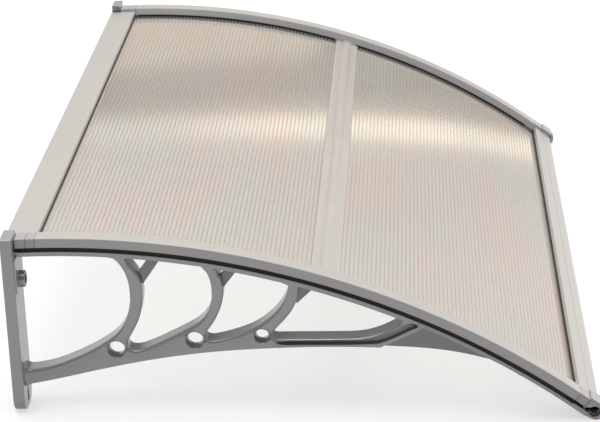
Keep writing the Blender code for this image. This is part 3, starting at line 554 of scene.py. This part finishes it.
bead = 0.0045                # flat width of the bead round an opening
opening_round = 0.0042       # rounding of an opening's edges
rim_round = 0.001           # rounding of the other edges
flare = 0.0025               # how much wider a round hole is at the panel's faces
hook_wall = 0.0048
hook_shift = 0.0025          # the hook is thicker in front than under the gutter
hook_end = 390.0             # degrees, counted from straight ahead round under the gutter

gutter_centre = down_front(*gutter)
nose_centre = gutter_centre + (hook_shift, 0.0)
seat_start = 180.0 - np.degrees(np.arcsin((-flange_top - gutter[1]) / seat_radius)) - np.degrees(front_lean)
arm_outline = np.vstack([
    underside, under_arc(np.linspace(0.668, front_reach + 0.022, 14), flange_under),
    circle_arc(nose_centre, seat_radius + hook_wall, 252.0, hook_end, 40),
    circle_arc(gutter_centre, seat_radius, hook_end, seat_start, 50),
    under_arc(np.linspace(front_reach + 0.02, plate_front - 0.003, 60), flange_top)])

openings = []
for points in opening_curves:
    curve = through(points)
    first, last = curve[0, 0], curve[-1, 0]
    lid = under_arc(np.linspace(last, first, 24)[int(last > first):-1], flange_under)
    openings.append(evenly(np.vstack([curve[1:-1], lid]), 0.0018, 0.0022))
arm_outline = evenly(arm_outline, 0.0018, 0.0009)
hole_centres = hung([centre for centre, _ in round_holes])
hole_loops = [circle_arc(c, r, 0, 360, 49)[:-1] for c, (_, r) in zip(hole_centres, round_holes)]

opening_rings = [opening_round * (1 - np.cos(np.radians(a))) for a in (17, 34, 51, 68, 90)]
opening_rings += [bead + d for d in (0.0002, 0.0006, 0.0011, 0.0016, 0.003, 0.0055)]
outer_rings = [0.00015, 0.0005, rim_round, 0.0024, 0.0045]
hole_rings = [0.0006, 0.0012, 0.0018, flare - 0.0002, flare + 0.0006, flare + 0.0026]


def beside(loop, offsets):
    """Points moved square off a closed curve by each offset."""
    return [loop + square_off(loop) * d for d in offsets]


bar_pocket = evenly(through(bar_recess + bar_recess[:1], 6)[:-1], 0.0018, 0.0006)
front_pocket = evenly(np.vstack([through(front_recess, 6),
                                 under_arc(np.linspace(0.562, 0.7, 30), flange_under),
                                 [[0.7, -0.3], [0.494, -0.3]]]), 0.0018, 0.0012)
pocket_features = []
for pocket in (bar_pocket, front_pocket):
    pocket_features += beside(turned(pocket, True), (-0.0009, -0.0003, 0.0003, 0.0009))
arm_points, arm_faces = net(arm_outline, openings + hole_loops,
                            [outer_rings] + [opening_rings] * 4 + [hole_rings] * 3, pocket_features, 0.0045)


def rounding(d, radius):
    """How far a face falls at a distance d inside a rounded edge: r - sqrt(r^2 - (r - d)^2)."""
    gap = np.clip(radius - d, 0.0, None)
    return radius - np.sqrt(np.maximum(radius ** 2 - gap ** 2, 0.0))


def arm_half(points):
    """Half thickness of the arm.

    It is the beads' level, less the step down to the panel, down to the web's in the recesses and to a
    funnel round each hole, and less the rounding of the edges.
    """
    reach, height = points.T
    to_opening = np.min([distance(points, loop) for loop in openings], axis=0)
    to_rim = distance(points, arm_outline)
    from_bend = np.hypot(reach - crown, height - bend_height)
    below_flange = (bend - flange_under) - from_bend
    cuff = ease((reach - plate_front - 0.0035) / 0.0045)
    line_height = np.interp(reach, *hung(panel_top).T)
    in_panel = ease((line_height - height + 0.001) / 0.006) * cuff
    level = rail_half - (rail_half - panel_half) * in_panel * ease((to_opening - bead) / 0.0016)
    for pocket in (bar_pocket, front_pocket):
        depth = distance(points, pocket) * np.where(inside(points, pocket), 1, -1)
        depth = np.minimum(depth, below_flange - 0.0006)
        level = level + (web_half - level) * ease((depth + 0.0004) / 0.0008)
    for centre, (_, r) in zip(hole_centres, round_holes):
        q = np.linalg.norm(points - centre, axis=1)
        funnel = 0.003 + (panel_half - 0.003) * ((q - r) / flare)
        level = np.minimum(level, np.maximum(funnel, 0.003))
    radius = rim_round + (opening_round - rim_round) * ease((below_flange - 0.001) / 0.006)
    return level - np.maximum(rounding(to_opening, radius), rounding(to_rim, rim_round))


arm_depth = arm_half(arm_points)


def rounded_outline(corners, radius, steps=4):
    """Closed outline whose corners are arcs tangent to both sides, swept between their two radii."""
    p = np.array(corners, float)
    r = np.broadcast_to(radius, len(p))
    a, b = np.roll(p, 1, 0) - p, np.roll(p, -1, 0) - p
    a, b = (v / np.linalg.norm(v, axis=1)[:, None] for v in (a, b))
    half = np.arccos(np.clip((a * b).sum(-1), -1, 1)) / 2
    middle = (a + b) / np.linalg.norm(a + b, axis=1)[:, None]
    centre = p + middle * (r / np.sin(half))[:, None]
    v0 = p + a * (r / np.tan(half))[:, None] - centre
    v1 = p + b * (r / np.tan(half))[:, None] - centre
    sweep = (np.pi - 2 * half)[:, None, None]
    k = np.linspace(0, 1, steps + 1)[None, :, None]
    arcs = (np.sin((1 - k) * sweep) * v0[:, None] + np.sin(k * sweep) * v1[:, None]) / np.sin(sweep)
    return (centre[:, None] + arcs).reshape(-1, 2)


def shrunk(outline, steps):
    """Copies of a closed outline, each moved inwards by one of the steps, square to itself."""
    inwards = square_off(outline) * (1 if turned(outline, True) is outline else -1)
    return outline + inwards * np.asarray(steps)[:, None, None]


def bar_ends(low, high, radius, steps=4):
    """Places along a bar and the shrink there, for ends rounded by a quarter circle."""
    a = np.linspace(0, np.pi / 2, steps + 1)
    place = radius * (1 - np.cos(a))
    shrink = radius * (1 - np.sin(a))
    return np.concatenate([low + place, high - place[::-1]]), np.concatenate([shrink, shrink[::-1]])


def along_wall(outline, low, high, radius):
    """Side-view outline carried along X between two places, with rounded ends."""
    places, shrink = bar_ends(low, high, radius)
    rings = shrunk(outline, shrink)
    across = np.broadcast_to(places[:, None], rings.shape[:2])
    return capped(np.stack([across, -rings[..., 0], rings[..., 1] + lift], -1))


plate_half, plate_foot, foot_radius = 0.03, -0.248, 0.022
head_inner, head_top = -0.008, 0.006
shoulder = under_arc(0.0, 0.02)[1] - 0.0003
boss_height, slot_middle = -0.061, -0.2305
pad_low, pad_high, pad_height = -0.0735, shoulder - 0.004, 0.0024

plate_outline = rounded_outline(
    [(plate_half, head_top), (head_inner, head_top), (head_inner, shoulder), (-plate_half, shoulder),
     (-plate_half, plate_foot), (plate_half, plate_foot)],
    [0.0012, 0.0012, 0.0006, 0.0012, foot_radius, foot_radius], 14)
slot_loop = np.vstack([circle_arc((0, slot_middle + 0.005), 0.0048, 0, 180, 16),
                       circle_arc((0, slot_middle - 0.005), 0.0048, 180, 360, 16)])
screw_loop = circle_arc((0, boss_height), 0.0032, 0, 360, 25)[:-1]
plate_loops = [evenly(plate_outline, 0.0018), evenly(slot_loop, 0.0012), screw_loop]
plate_rings = [[0.0001, 0.0004, 0.0009, 0.0015, 0.003], [0.0002, 0.0006, 0.0012], [0.0003, 0.001]]
pad_outline = rounded_outline([(-0.026, pad_low), (0.026, pad_low), (0.026, pad_high),
                               (-0.026, pad_high)], 0.002, 4)
pad_loop = evenly(pad_outline, 0.0018)
plate_points, plate_faces = net(plate_loops[0], plate_loops[1:], plate_rings,
                                beside(turned(pad_loop, True), (-0.0007, 0.0, 0.0007)), 0.005)
plate_edge = np.min([distance(plate_points, loop) for loop in plate_loops[:2]], axis=0)
in_pad = distance(plate_points, pad_loop) * np.where(inside(plate_points, pad_loop), 1, -1)
plate_high = plate_front - rounding(plate_edge, 0.0015) + pad_height * ease((in_pad + 0.0005) / 0.001)
plate_low = rounding(plate_edge, 0.0006)
boss_profile = [(radius, plate_front + out) for radius, out in (
    (0.0032, -0.006), (0.0032, 0.003), (0.0066, 0.0036), (0.0068, 0.0094), (0.0078, 0.01),
    (0.01, 0.01), (0.011, 0.0094), (0.0115, 0.0082), (0.0115, -0.006))]

sides = ((-1, "left"), (1, "right"))
for side, tag in sides:
    points, faces = slab(arm_points, arm_faces, arm_depth, -arm_depth)
    arm = (np.column_stack([side * (half_span + points[:, 2]), -points[:, 0], points[:, 1] + lift]), faces)
    points, faces = slab(plate_points, plate_faces, plate_high, plate_low)
    plate = (np.column_stack([side * (half_span + points[:, 0]), -points[:, 2], points[:, 1] + lift]), faces)
    shells = [arm, plate, lathe(boss_profile, (side * half_span, boss_height + lift))]
    for corners in thin_webs:
        low, high = sorted((side * (half_span - web_half), side * (half_span + web_half)))
        shells.append(along_wall(rounded_outline(hung(corners), 0.0004, 3), low, high, 0.0004))
    piece(f"moulded_bracket_{tag}", shells, bracket_plastic, f"bracket_{tag}")


# Side covers: aluminium box profiles, bent to the arc and anodised silver, that lie along the ends of
# the sheets and clamp them to the bracket's flange. Screws from below hold them down.

cover_height = 0.013
cover_round = 0.0011
cover_slope = 0.0045         # how far the inner side leans under the top face
slope_foot = 0.01          # drop at which the inner side turns upright
cover_start, cover_end = 0.044, front_reach + 0.0042 * np.cos(front_lean)
silver_metal = grained("silver anodised aluminium", (0.47, 0.46, 0.45), (0.51, 0.5, 0.485), 0.32, 0.12,
                       (0.05, 1, 1), 1400.0, 0.1)


def cover_section(side):
    """Section of a cover as (x, drop) points: outer side upright, inner side leaning out to the sheet."""
    outer, inner = side * (half_span + rail_half), side * (half_span - rail_half)
    return rounded_outline(
        [(outer, 0.0), (inner + side * cover_slope, 0.0), (inner, slope_foot), (inner, cover_height),
         (outer, cover_height)], [cover_round, cover_round, 0.0006, 0.0004, 0.0005], 5)


def block(section, places, shrink, point):
    """Section of (x, drop) points carried along by a rule point(place, drop), shrunk at each place."""
    rings = shrunk(section, shrink)
    side_view = point(np.broadcast_to(np.asarray(places)[:, None], rings.shape[:2]), rings[..., 1])
    return capped(np.stack([rings[..., 0], -side_view[..., 0], side_view[..., 1] + lift], -1))


def arc_rail(section, start, end, steps, radius):
    """Section of (x, drop) points carried along the arc, from reach to reach, with rounded ends."""
    low, high = (np.arcsin((reach - crown) / bend) for reach in (start, end))
    ends, shrink = bar_ends(low, high, radius / bend, 3)
    angle = np.concatenate([ends[:4], np.linspace(low, high, steps)[1:-1], ends[4:]])
    shrink = np.concatenate([shrink[:4], np.zeros(steps - 2), shrink[4:]]) * bend
    return block(section, angle, shrink, round_bend)


for side, tag in sides:
    piece(f"arched_cover_{tag}", [arc_rail(cover_section(side), cover_start, cover_end, 140, 0.0004)],
          silver_metal, f"side_cover_{tag}")


# Rear corners: moulded blocks that close the rear end of each cover and plug into it and into the rear
# bar. A fine groove runs round the block where its two moulded halves meet.

corner_plastic = grained("light grey moulded plastic", (0.4, 0.4, 0.415), (0.44, 0.44, 0.45), 0.3, 0.12)
groove = (0.0306, 0.0314)    # reach of the groove's two edges
corner_end = 0.0437
corner_round = 0.0006
rear_part, rear_shrink = bar_ends(plate_front + 0.0006, groove[0], corner_round, 3)
front_part, front_shrink = bar_ends(groove[1], corner_end, corner_round, 3)
places = np.concatenate([rear_part, groove, front_part, [corner_end, 0.0617]])
shrink = np.concatenate([rear_shrink, [0.0012, 0.0012], front_shrink, [0.0021, 0.0021]])
for side, tag in sides:
    piece(f"rear_corner_block_{tag}", [block(cover_section(side), places, shrink, under_arc)],
          corner_plastic, f"rear_corner_{tag}")


# Front corners: short moulded blocks between the front end of each cover and the cap of the front bar,
# with a tongue up into the cover.

places, shrink = bar_ends(0.0045, 0.02, corner_round, 3)
places = np.concatenate([[-0.015, 0.0044], places])
shrink = np.concatenate([[0.0023, 0.0023], shrink])
for side, tag in sides:
    shell = block(cover_section(side), places, shrink, lambda t, drop: down_front(t, -drop))
    piece(f"front_corner_block_{tag}", [shell], corner_plastic, f"front_corner_{tag}")


# Front caps: moulded ends of the front bar. Each wraps the gutter's end from above, stands a little over
# the cover, and meets the bracket's hook in front.

cap_proud, cap_wall, cap_start = 0.0026, 0.0026, 0.0203
cap_last = np.degrees(front_lean) + hook_end - 360.0 + 3.0


def round_nose(radius, top, start, end, steps):
    """Front-frame points round the gutter: the radius grows upwards, so that a flat top runs into it."""
    a = np.radians(np.linspace(start, end, steps))
    reach = radius + (top - gutter[1] - radius) * np.sin(a)
    return np.stack([gutter[0] + reach * np.cos(a), gutter[1] + reach * np.sin(a)], -1)


cap_line = np.vstack([
    [[cap_start + 0.0008, cap_proud], [cap_start + 0.006, cap_proud]],
    round_nose(seat_radius + cap_wall, cap_proud, 90.0, cap_last, 22),
    circle_arc(gutter, seat_radius, cap_last, 180.0, 26),
    [[gutter[0] - seat_radius, -cover_height], [cap_start + 0.002, -cover_height],
     [cap_start + 0.002, -cover_height - 0.004], [cap_start, -cover_height - 0.004],
     [cap_start, cap_proud - 0.0008]]])
cap_outline = evenly(down_front(*cap_line.T), 0.0007, 0.0007)
for side, tag in sides:
    low, high = sorted((side * (half_span + rail_half), side * (half_span - rail_half)))
    piece(f"gutter_end_cap_{tag}", [along_wall(cap_outline, low, high, 0.0008)], corner_plastic,
          f"front_cap_{tag}")


# Rear bar: an extruded aluminium channel along the wall. Its flat top covers the rear edge of the sheet,
# and its mouth holds the sheet and a black seal.

bar_top = 0.004
rear_width = 0.0425
sheet_drop = 0.0133
seal_drop = 0.0102
bar_half = half_span - rail_half - 0.0003
w = 0.0018                   # thickness of the bars' walls
rear_line = np.array([under_arc(u, drop) for u, drop in (
    (0.0, bar_top), (rear_width, bar_top), (rear_width, seal_drop), (rear_width - w, seal_drop),
    (rear_width - w, bar_top + w), (w, bar_top + w), (w, flange_top), (rear_width, flange_top),
    (rear_width, flange_top + w), (0.0, flange_top + w))])
rear_line[[0, 9], 0] = 0.0
rear_outline = rounded_outline(rear_line, [0.0008, 0.0008] + [0.0003] * 8, 3)
piece("rear_wall_bar", [along_wall(rear_outline, -bar_half, bar_half, 0.0003)], silver_metal,
      "rear_bar")


# Front bar: an extruded aluminium profile with a mouth for the sheet, a fine groove along its top and a
# round nose. A gutter tube along its lower edge runs on through the hooks of both brackets.

gutter_outer = 0.0078
gutter_wall = 0.0018
gutter_mouth = 51.0
groove_at, groove_width, groove_depth = 0.022, 0.0024, 0.0009
mouth_at = 0.0075            # rear face of the bar, down the front slope
bar_line = np.vstack([
    [[mouth_at, -bar_top], [groove_at, -bar_top], [groove_at + groove_width / 2, -bar_top - groove_depth],
     [groove_at + groove_width, -bar_top]],
    round_nose(gutter_outer, -bar_top, 90.0, 0.0, 26), circle_arc(gutter, gutter_outer, 0.0, -90.0, 16)[1:],
    [[0.0, gutter[1] - gutter_outer], [0.0, -flange_top],
     [gutter[0] + gutter_outer * np.cos(np.radians(180.0 + gutter_mouth)), -flange_top]],
    circle_arc(gutter, gutter_outer - gutter_wall, 180.0 + gutter_mouth, 540.0 - gutter_mouth - 129.0, 30),
    [[gutter[0] - gutter_outer, gutter[1]], [gutter[0] - gutter_outer, -bar_top - w],
     [mouth_at + w, -bar_top - w], [mouth_at + w, -seal_drop], [mouth_at, -seal_drop]]])
front_outline = evenly(down_front(*bar_line.T), 0.0006, 0.0005)
tube_line = np.vstack([circle_arc(gutter, gutter_outer - 0.0001, 180.0 + gutter_mouth, 540.0, 44),
                       circle_arc(gutter, gutter_outer - gutter_wall, 540.0, 180.0 + gutter_mouth, 44)])
tube_outline = evenly(down_front(*tube_line.T), 0.0006, 0.0003)
shells = [along_wall(front_outline, -bar_half, bar_half, 0.0002)]
for side in (-1, 1):
    low, high = sorted((side * (bar_half - 0.002), side * (half_span + rail_half - 0.009)))
    shells.append(along_wall(tube_outline, low, high, 0.0002))
piece("front_gutter_bar", shells, silver_metal, "front_bar")


# Sheets: extruded twin-wall polycarbonate, two clear skins over a rib every 6.4 millimetres. The flutes
# run along the wall, and the skins sag a little between the ribs, so reflections break into fine lines.

sheet_start, strip_reach, strip_gap = 0.018, 0.429, 0.0015
sheet_end = front_reach + 0.016 * np.cos(front_lean)
flute_pitch = 0.0064


def flute_group():
    """Node group: position across the flutes. Puts out a ridge that is 1 on each rib and 0 between two.

    The angle round the bend's centre, atan2(reach - crown, height - centre), less the first rib's angle and
    over the angle of one flute, counts the ribs; half of one plus its cosine gives the ridge.
    """
    group, given, results = node_group("flutes", {"First": "Float", "Step": "Float"}, {"Ridge": "Float"})
    split = node(group, "SeparateXYZ", node(group, "TexCoord").outputs["Object"]).outputs
    reach = maths(group, "MULTIPLY_ADD", split["Y"], -1.0, -crown)
    height = maths(group, "SUBTRACT", split["Z"], float(bend_height + lift))
    less = maths(group, "SUBTRACT", maths(group, "ARCTAN2", reach, height), given["First"])
    count = maths(group, "DIVIDE", less, given["Step"])
    wave = maths(group, "COSINE", times(group, count, 2 * np.pi))
    feed(results, Ridge=maths(group, "MULTIPLY_ADD", wave, 0.5, 0.5))
    return group


flutes = flute_group()


def cells_between(start, end):
    """Angles round the bend of a sheet's two ends, and the whole number of flutes that fits."""
    first, last = (float(np.arcsin((reach - crown) / bend)) for reach in (start, end))
    return first, last, round((last - first) * bend / flute_pitch)


def fluted_polycarbonate(name, start, end):
    """Clear polycarbonate with the fine lines of its ribs, for a sheet between two reaches."""
    first, last, cells = cells_between(start, end)
    mat, tree, shader = principled(name)
    ridge = node(tree, "Group", node_tree=flutes, First=first, Step=(last - first) / cells).outputs["Ridge"]
    place = node(tree, "TexCoord").outputs["Object"]
    stretched = node(tree, "Mapping", Vector=place, Scale=(1.1, 6.0, 6.0))
    haze = node(tree, "TexNoise", Vector=stretched.outputs[0], Scale=2.6, Detail=1.5)
    tint = node(tree, "ValToRGB", haze.outputs["Fac"])
    low, high = tint.color_ramp.elements
    low.position, low.color = 0.34, (0.64, 0.635, 0.6, 1)
    high.position, high.color = 0.66, (0.685, 0.61, 0.575, 1)
    tone = node(tree, "Mix", data_type="RGBA", blend_type="MULTIPLY", A=tint.outputs["Color"],
                B=(0.78, 0.77, 0.76, 1), Factor=between(tree, ridge, 0.6, 1.0))
    # Painted shade: towards its ends each flute is darkened where the dark groove that it stands in shows
    # through it and is reflected in it, and its ribs stay lighter.
    across = maths(tree, "ABSOLUTE", node(tree, "SeparateXYZ", place).outputs["X"])
    ends = times(tree, between(tree, across, 0.531, 0.54), between(tree, ridge, 0.75, 0.25, 0.35, 1.0))
    tone = node(tree, "Mix", data_type="RGBA", A=tone.outputs["Result"], B=(0.02, 0.02, 0.02, 1),
                Factor=ends)
    rough = maths(tree, "MULTIPLY_ADD", ridge, 0.03, 0.035)
    shadow = node(tree, "LightPath").outputs["Is Shadow Ray"]
    feed(shader, Base_Color=tone.outputs["Result"], IOR=1.58, Transmission_Weight=0.6,
         Roughness=maths(tree, "MULTIPLY_ADD", ends, 0.6, rough),
         Alpha=maths(tree, "MULTIPLY_ADD", shadow, -0.93, 1.0))
    return mat


def twin_wall(start, end):
    """Sheet bent to the arc: two wavy skins over upright ribs.

    Across the flutes, a column of four points (outer top, inner top, inner bottom, outer bottom) stands at
    each angle. Columns stand at both faces of each rib and evenly between. The outer skins sink by
    sag (1 - cos(turns)) / 2 between two ribs. The section's quads close both ends, and its free edges are
    carried along X.
    """
    first, last, cells = cells_between(start, end)
    step = (last - first) / cells
    half_rib = rib / 2 / bend
    inner = np.linspace(half_rib, step - half_rib, skin_columns)
    angle = np.concatenate([[first], (first + step * np.arange(cells)[:, None] + inner).ravel(), [last]])
    sink = sag * (1 - np.cos(2 * np.pi * (angle - first) / step)) / 2
    drop = sheet_drop + np.stack([sink, 0 * sink + skin, 0 * sink + sheet_thickness - skin,
                                  sheet_thickness - sink], -1)
    side_view = round_bend(angle[:, None], drop).reshape(-1, 2) + (0.0, lift)
    column = np.arange(len(angle) - 1)
    is_rib = column % skin_columns == 0
    quads = np.concatenate([np.stack([4 * c + r, 4 * c + r + 1, 4 * c + r + 5, 4 * c + r + 4], -1)
                            for c, r in ((column, 0), (column[is_rib], 1), (column, 2))])
    count = len(side_view)
    points = np.vstack([np.column_stack([np.full(count, x), -side_view[:, 0], side_view[:, 1]])
                        for x in (-sheet_half, sheet_half)])
    return points, walled(quads, count)


sheet_thickness, skin, rib = 0.0046, 0.0006, 0.0005
sheet_half = half_span + rail_half - 0.0085
sag = 0.00006                # how far a skin sinks between two ribs
skin_columns = 8             # columns of points across one flute
for name, start, end in (("rear_sheet", sheet_start, strip_reach - strip_gap),
                         ("front_sheet", strip_reach + strip_gap, sheet_end)):
    mat = fluted_polycarbonate(name.replace("_", " ") + " polycarbonate", start, end)
    piece(f"twin_wall_{name}", [twin_wall(start, end)], mat, name)


# Joint strip: an extruded H of hazy polycarbonate between the two sheets, with a round ridge along the
# middle of its top. It runs from cover to cover.

half_top, half_low = 0.02, 0.015
strip_flange, strip_web, strip_edge, strip_taper = 0.0014, 0.0024, 0.0008, 0.003
ridge_half, ridge_height = 0.008, 0.0036
top, low = -cover_height, -flange_top
ridge_angle = np.radians(np.linspace(180, 0, 25))
strip_line = np.vstack([
    [[-half_top, top], [-half_top, top + strip_edge], [-half_top + strip_taper, top + strip_flange]],
    np.stack([ridge_half * np.cos(ridge_angle),
              top + strip_flange + ridge_height * np.sin(ridge_angle)], -1),
    [[half_top - strip_taper, top + strip_flange], [half_top, top + strip_edge],
     [half_top, top], [strip_web / 2, top], [strip_web / 2, low], [half_low, low],
     [half_low, low - strip_flange], [-half_low, low - strip_flange], [-half_low, low],
     [-strip_web / 2, low], [-strip_web / 2, top]]])
strip_outline = on_slope(strip_reach, *strip_line.T)
hazy, tree, shader = principled("hazy polycarbonate strip")
tone, _ = grain_on(tree, shader, (0.62, 0.6, 0.575), (0.7, 0.675, 0.64), (0.02, 1, 1), 500.0, 0.15)
shadow = node(tree, "LightPath").outputs["Is Shadow Ray"]
feed(shader, Base_Color=tone, IOR=1.58, Transmission_Weight=0.45, Roughness=0.15,
     Alpha=maths(tree, "MULTIPLY_ADD", shadow, -0.6, 1.0))
strip_outline = evenly(strip_outline, 0.0005, 0.0004)
piece("ridged_joint_strip", [along_wall(strip_outline, -bar_half, bar_half, 0.0001)], hazy,
      "joint_strip")


# Seals: black rubber lips along the bars and covers, and the strips that close the sheets' open ends in
# the groove between cover and flange.

black_rubber = grained("black rubber", (0.01, 0.01, 0.011), (0.016, 0.016, 0.017), 0.62, 0.0,
                       scale=1500.0)
lip_top = seal_drop + 0.0001
side_lip = (0.0024, 0.003)   # seals of the covers: width, and height over the sheet
rear_lip = np.array([under_arc(rear_width + step, drop) for step, drop in (
    (-0.0016, lip_top), (0.0002, lip_top), (0.0018, sheet_drop - 0.0003), (-0.0016, sheet_drop - 0.0003))])
front_lip = down_front(mouth_at + np.array([0.0016, -0.0002, -0.0016, 0.0016]),
                       -np.array([lip_top, lip_top, sheet_drop - 0.0003, sheet_drop - 0.0003]))
for name, outline in (("rear_seal", rear_lip), ("front_seal", front_lip)):
    outline = rounded_outline(outline, 0.0003, 3)
    piece(f"{name}_lip", [along_wall(outline, -bar_half, bar_half, 0.0001)], black_rubber,
          name)
for side, tag in sides:
    wall = side * (half_span - rail_half - 0.0002)
    edge = wall - side * side_lip[0]
    top, foot = sheet_drop - side_lip[1], sheet_drop - 0.0003
    section = rounded_outline([(wall, top), (wall, foot), (edge, foot), (wall - side * 0.0016, top)],
                              0.0005, 3)
    for part in ("rear", "front"):
        name = f"side_seal_{tag}_{part}"
        low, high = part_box(name)
        shell = arc_rail(section, -high.y, -low.y, 70, 0.0003)
        piece(f"{name}_lip", [shell], black_rubber, name)
# Along the covers the edge strips lap a little over the flange's outer edge; the seal is real, and its black
# lap there is painted shade of the groove.
painted_shade_lap = 0.0004
edge_line = [(0.5768, 0.0134), (0.5832, 0.0134), (0.5838, 0.0176), (0.5857, 0.0179), (0.5857, 0.0182 + painted_shade_lap),
             (0.5852, 0.0182 + painted_shade_lap), (0.5852, 0.018), (0.5768, 0.018)]
for side, tag in sides:
    low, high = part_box(f"edge_seal_{tag}")
    section = rounded_outline([(side * x, drop) for x, drop in edge_line], 0.0002, 2)
    places = np.linspace(0.0005 - high.y, -low.y - 0.0008, 70)
    piece(f"edge_seal_{tag}_lip", [block(section, places, np.zeros(70), under_arc)], black_rubber,
          f"edge_seal_{tag}")


# Screws: zinc-plated pan heads under the flange, driven up through the sheet into the covers.

zinc = grained("zinc plated steel", (0.52, 0.52, 0.5), (0.6, 0.6, 0.58), 0.3, 1.0, scale=2500.0,
               depth=0.08)
for name in nodes:
    if name.startswith("cover_screw"):
        nodes[name].data.materials.clear()
        nodes[name].data.materials.append(zinc)
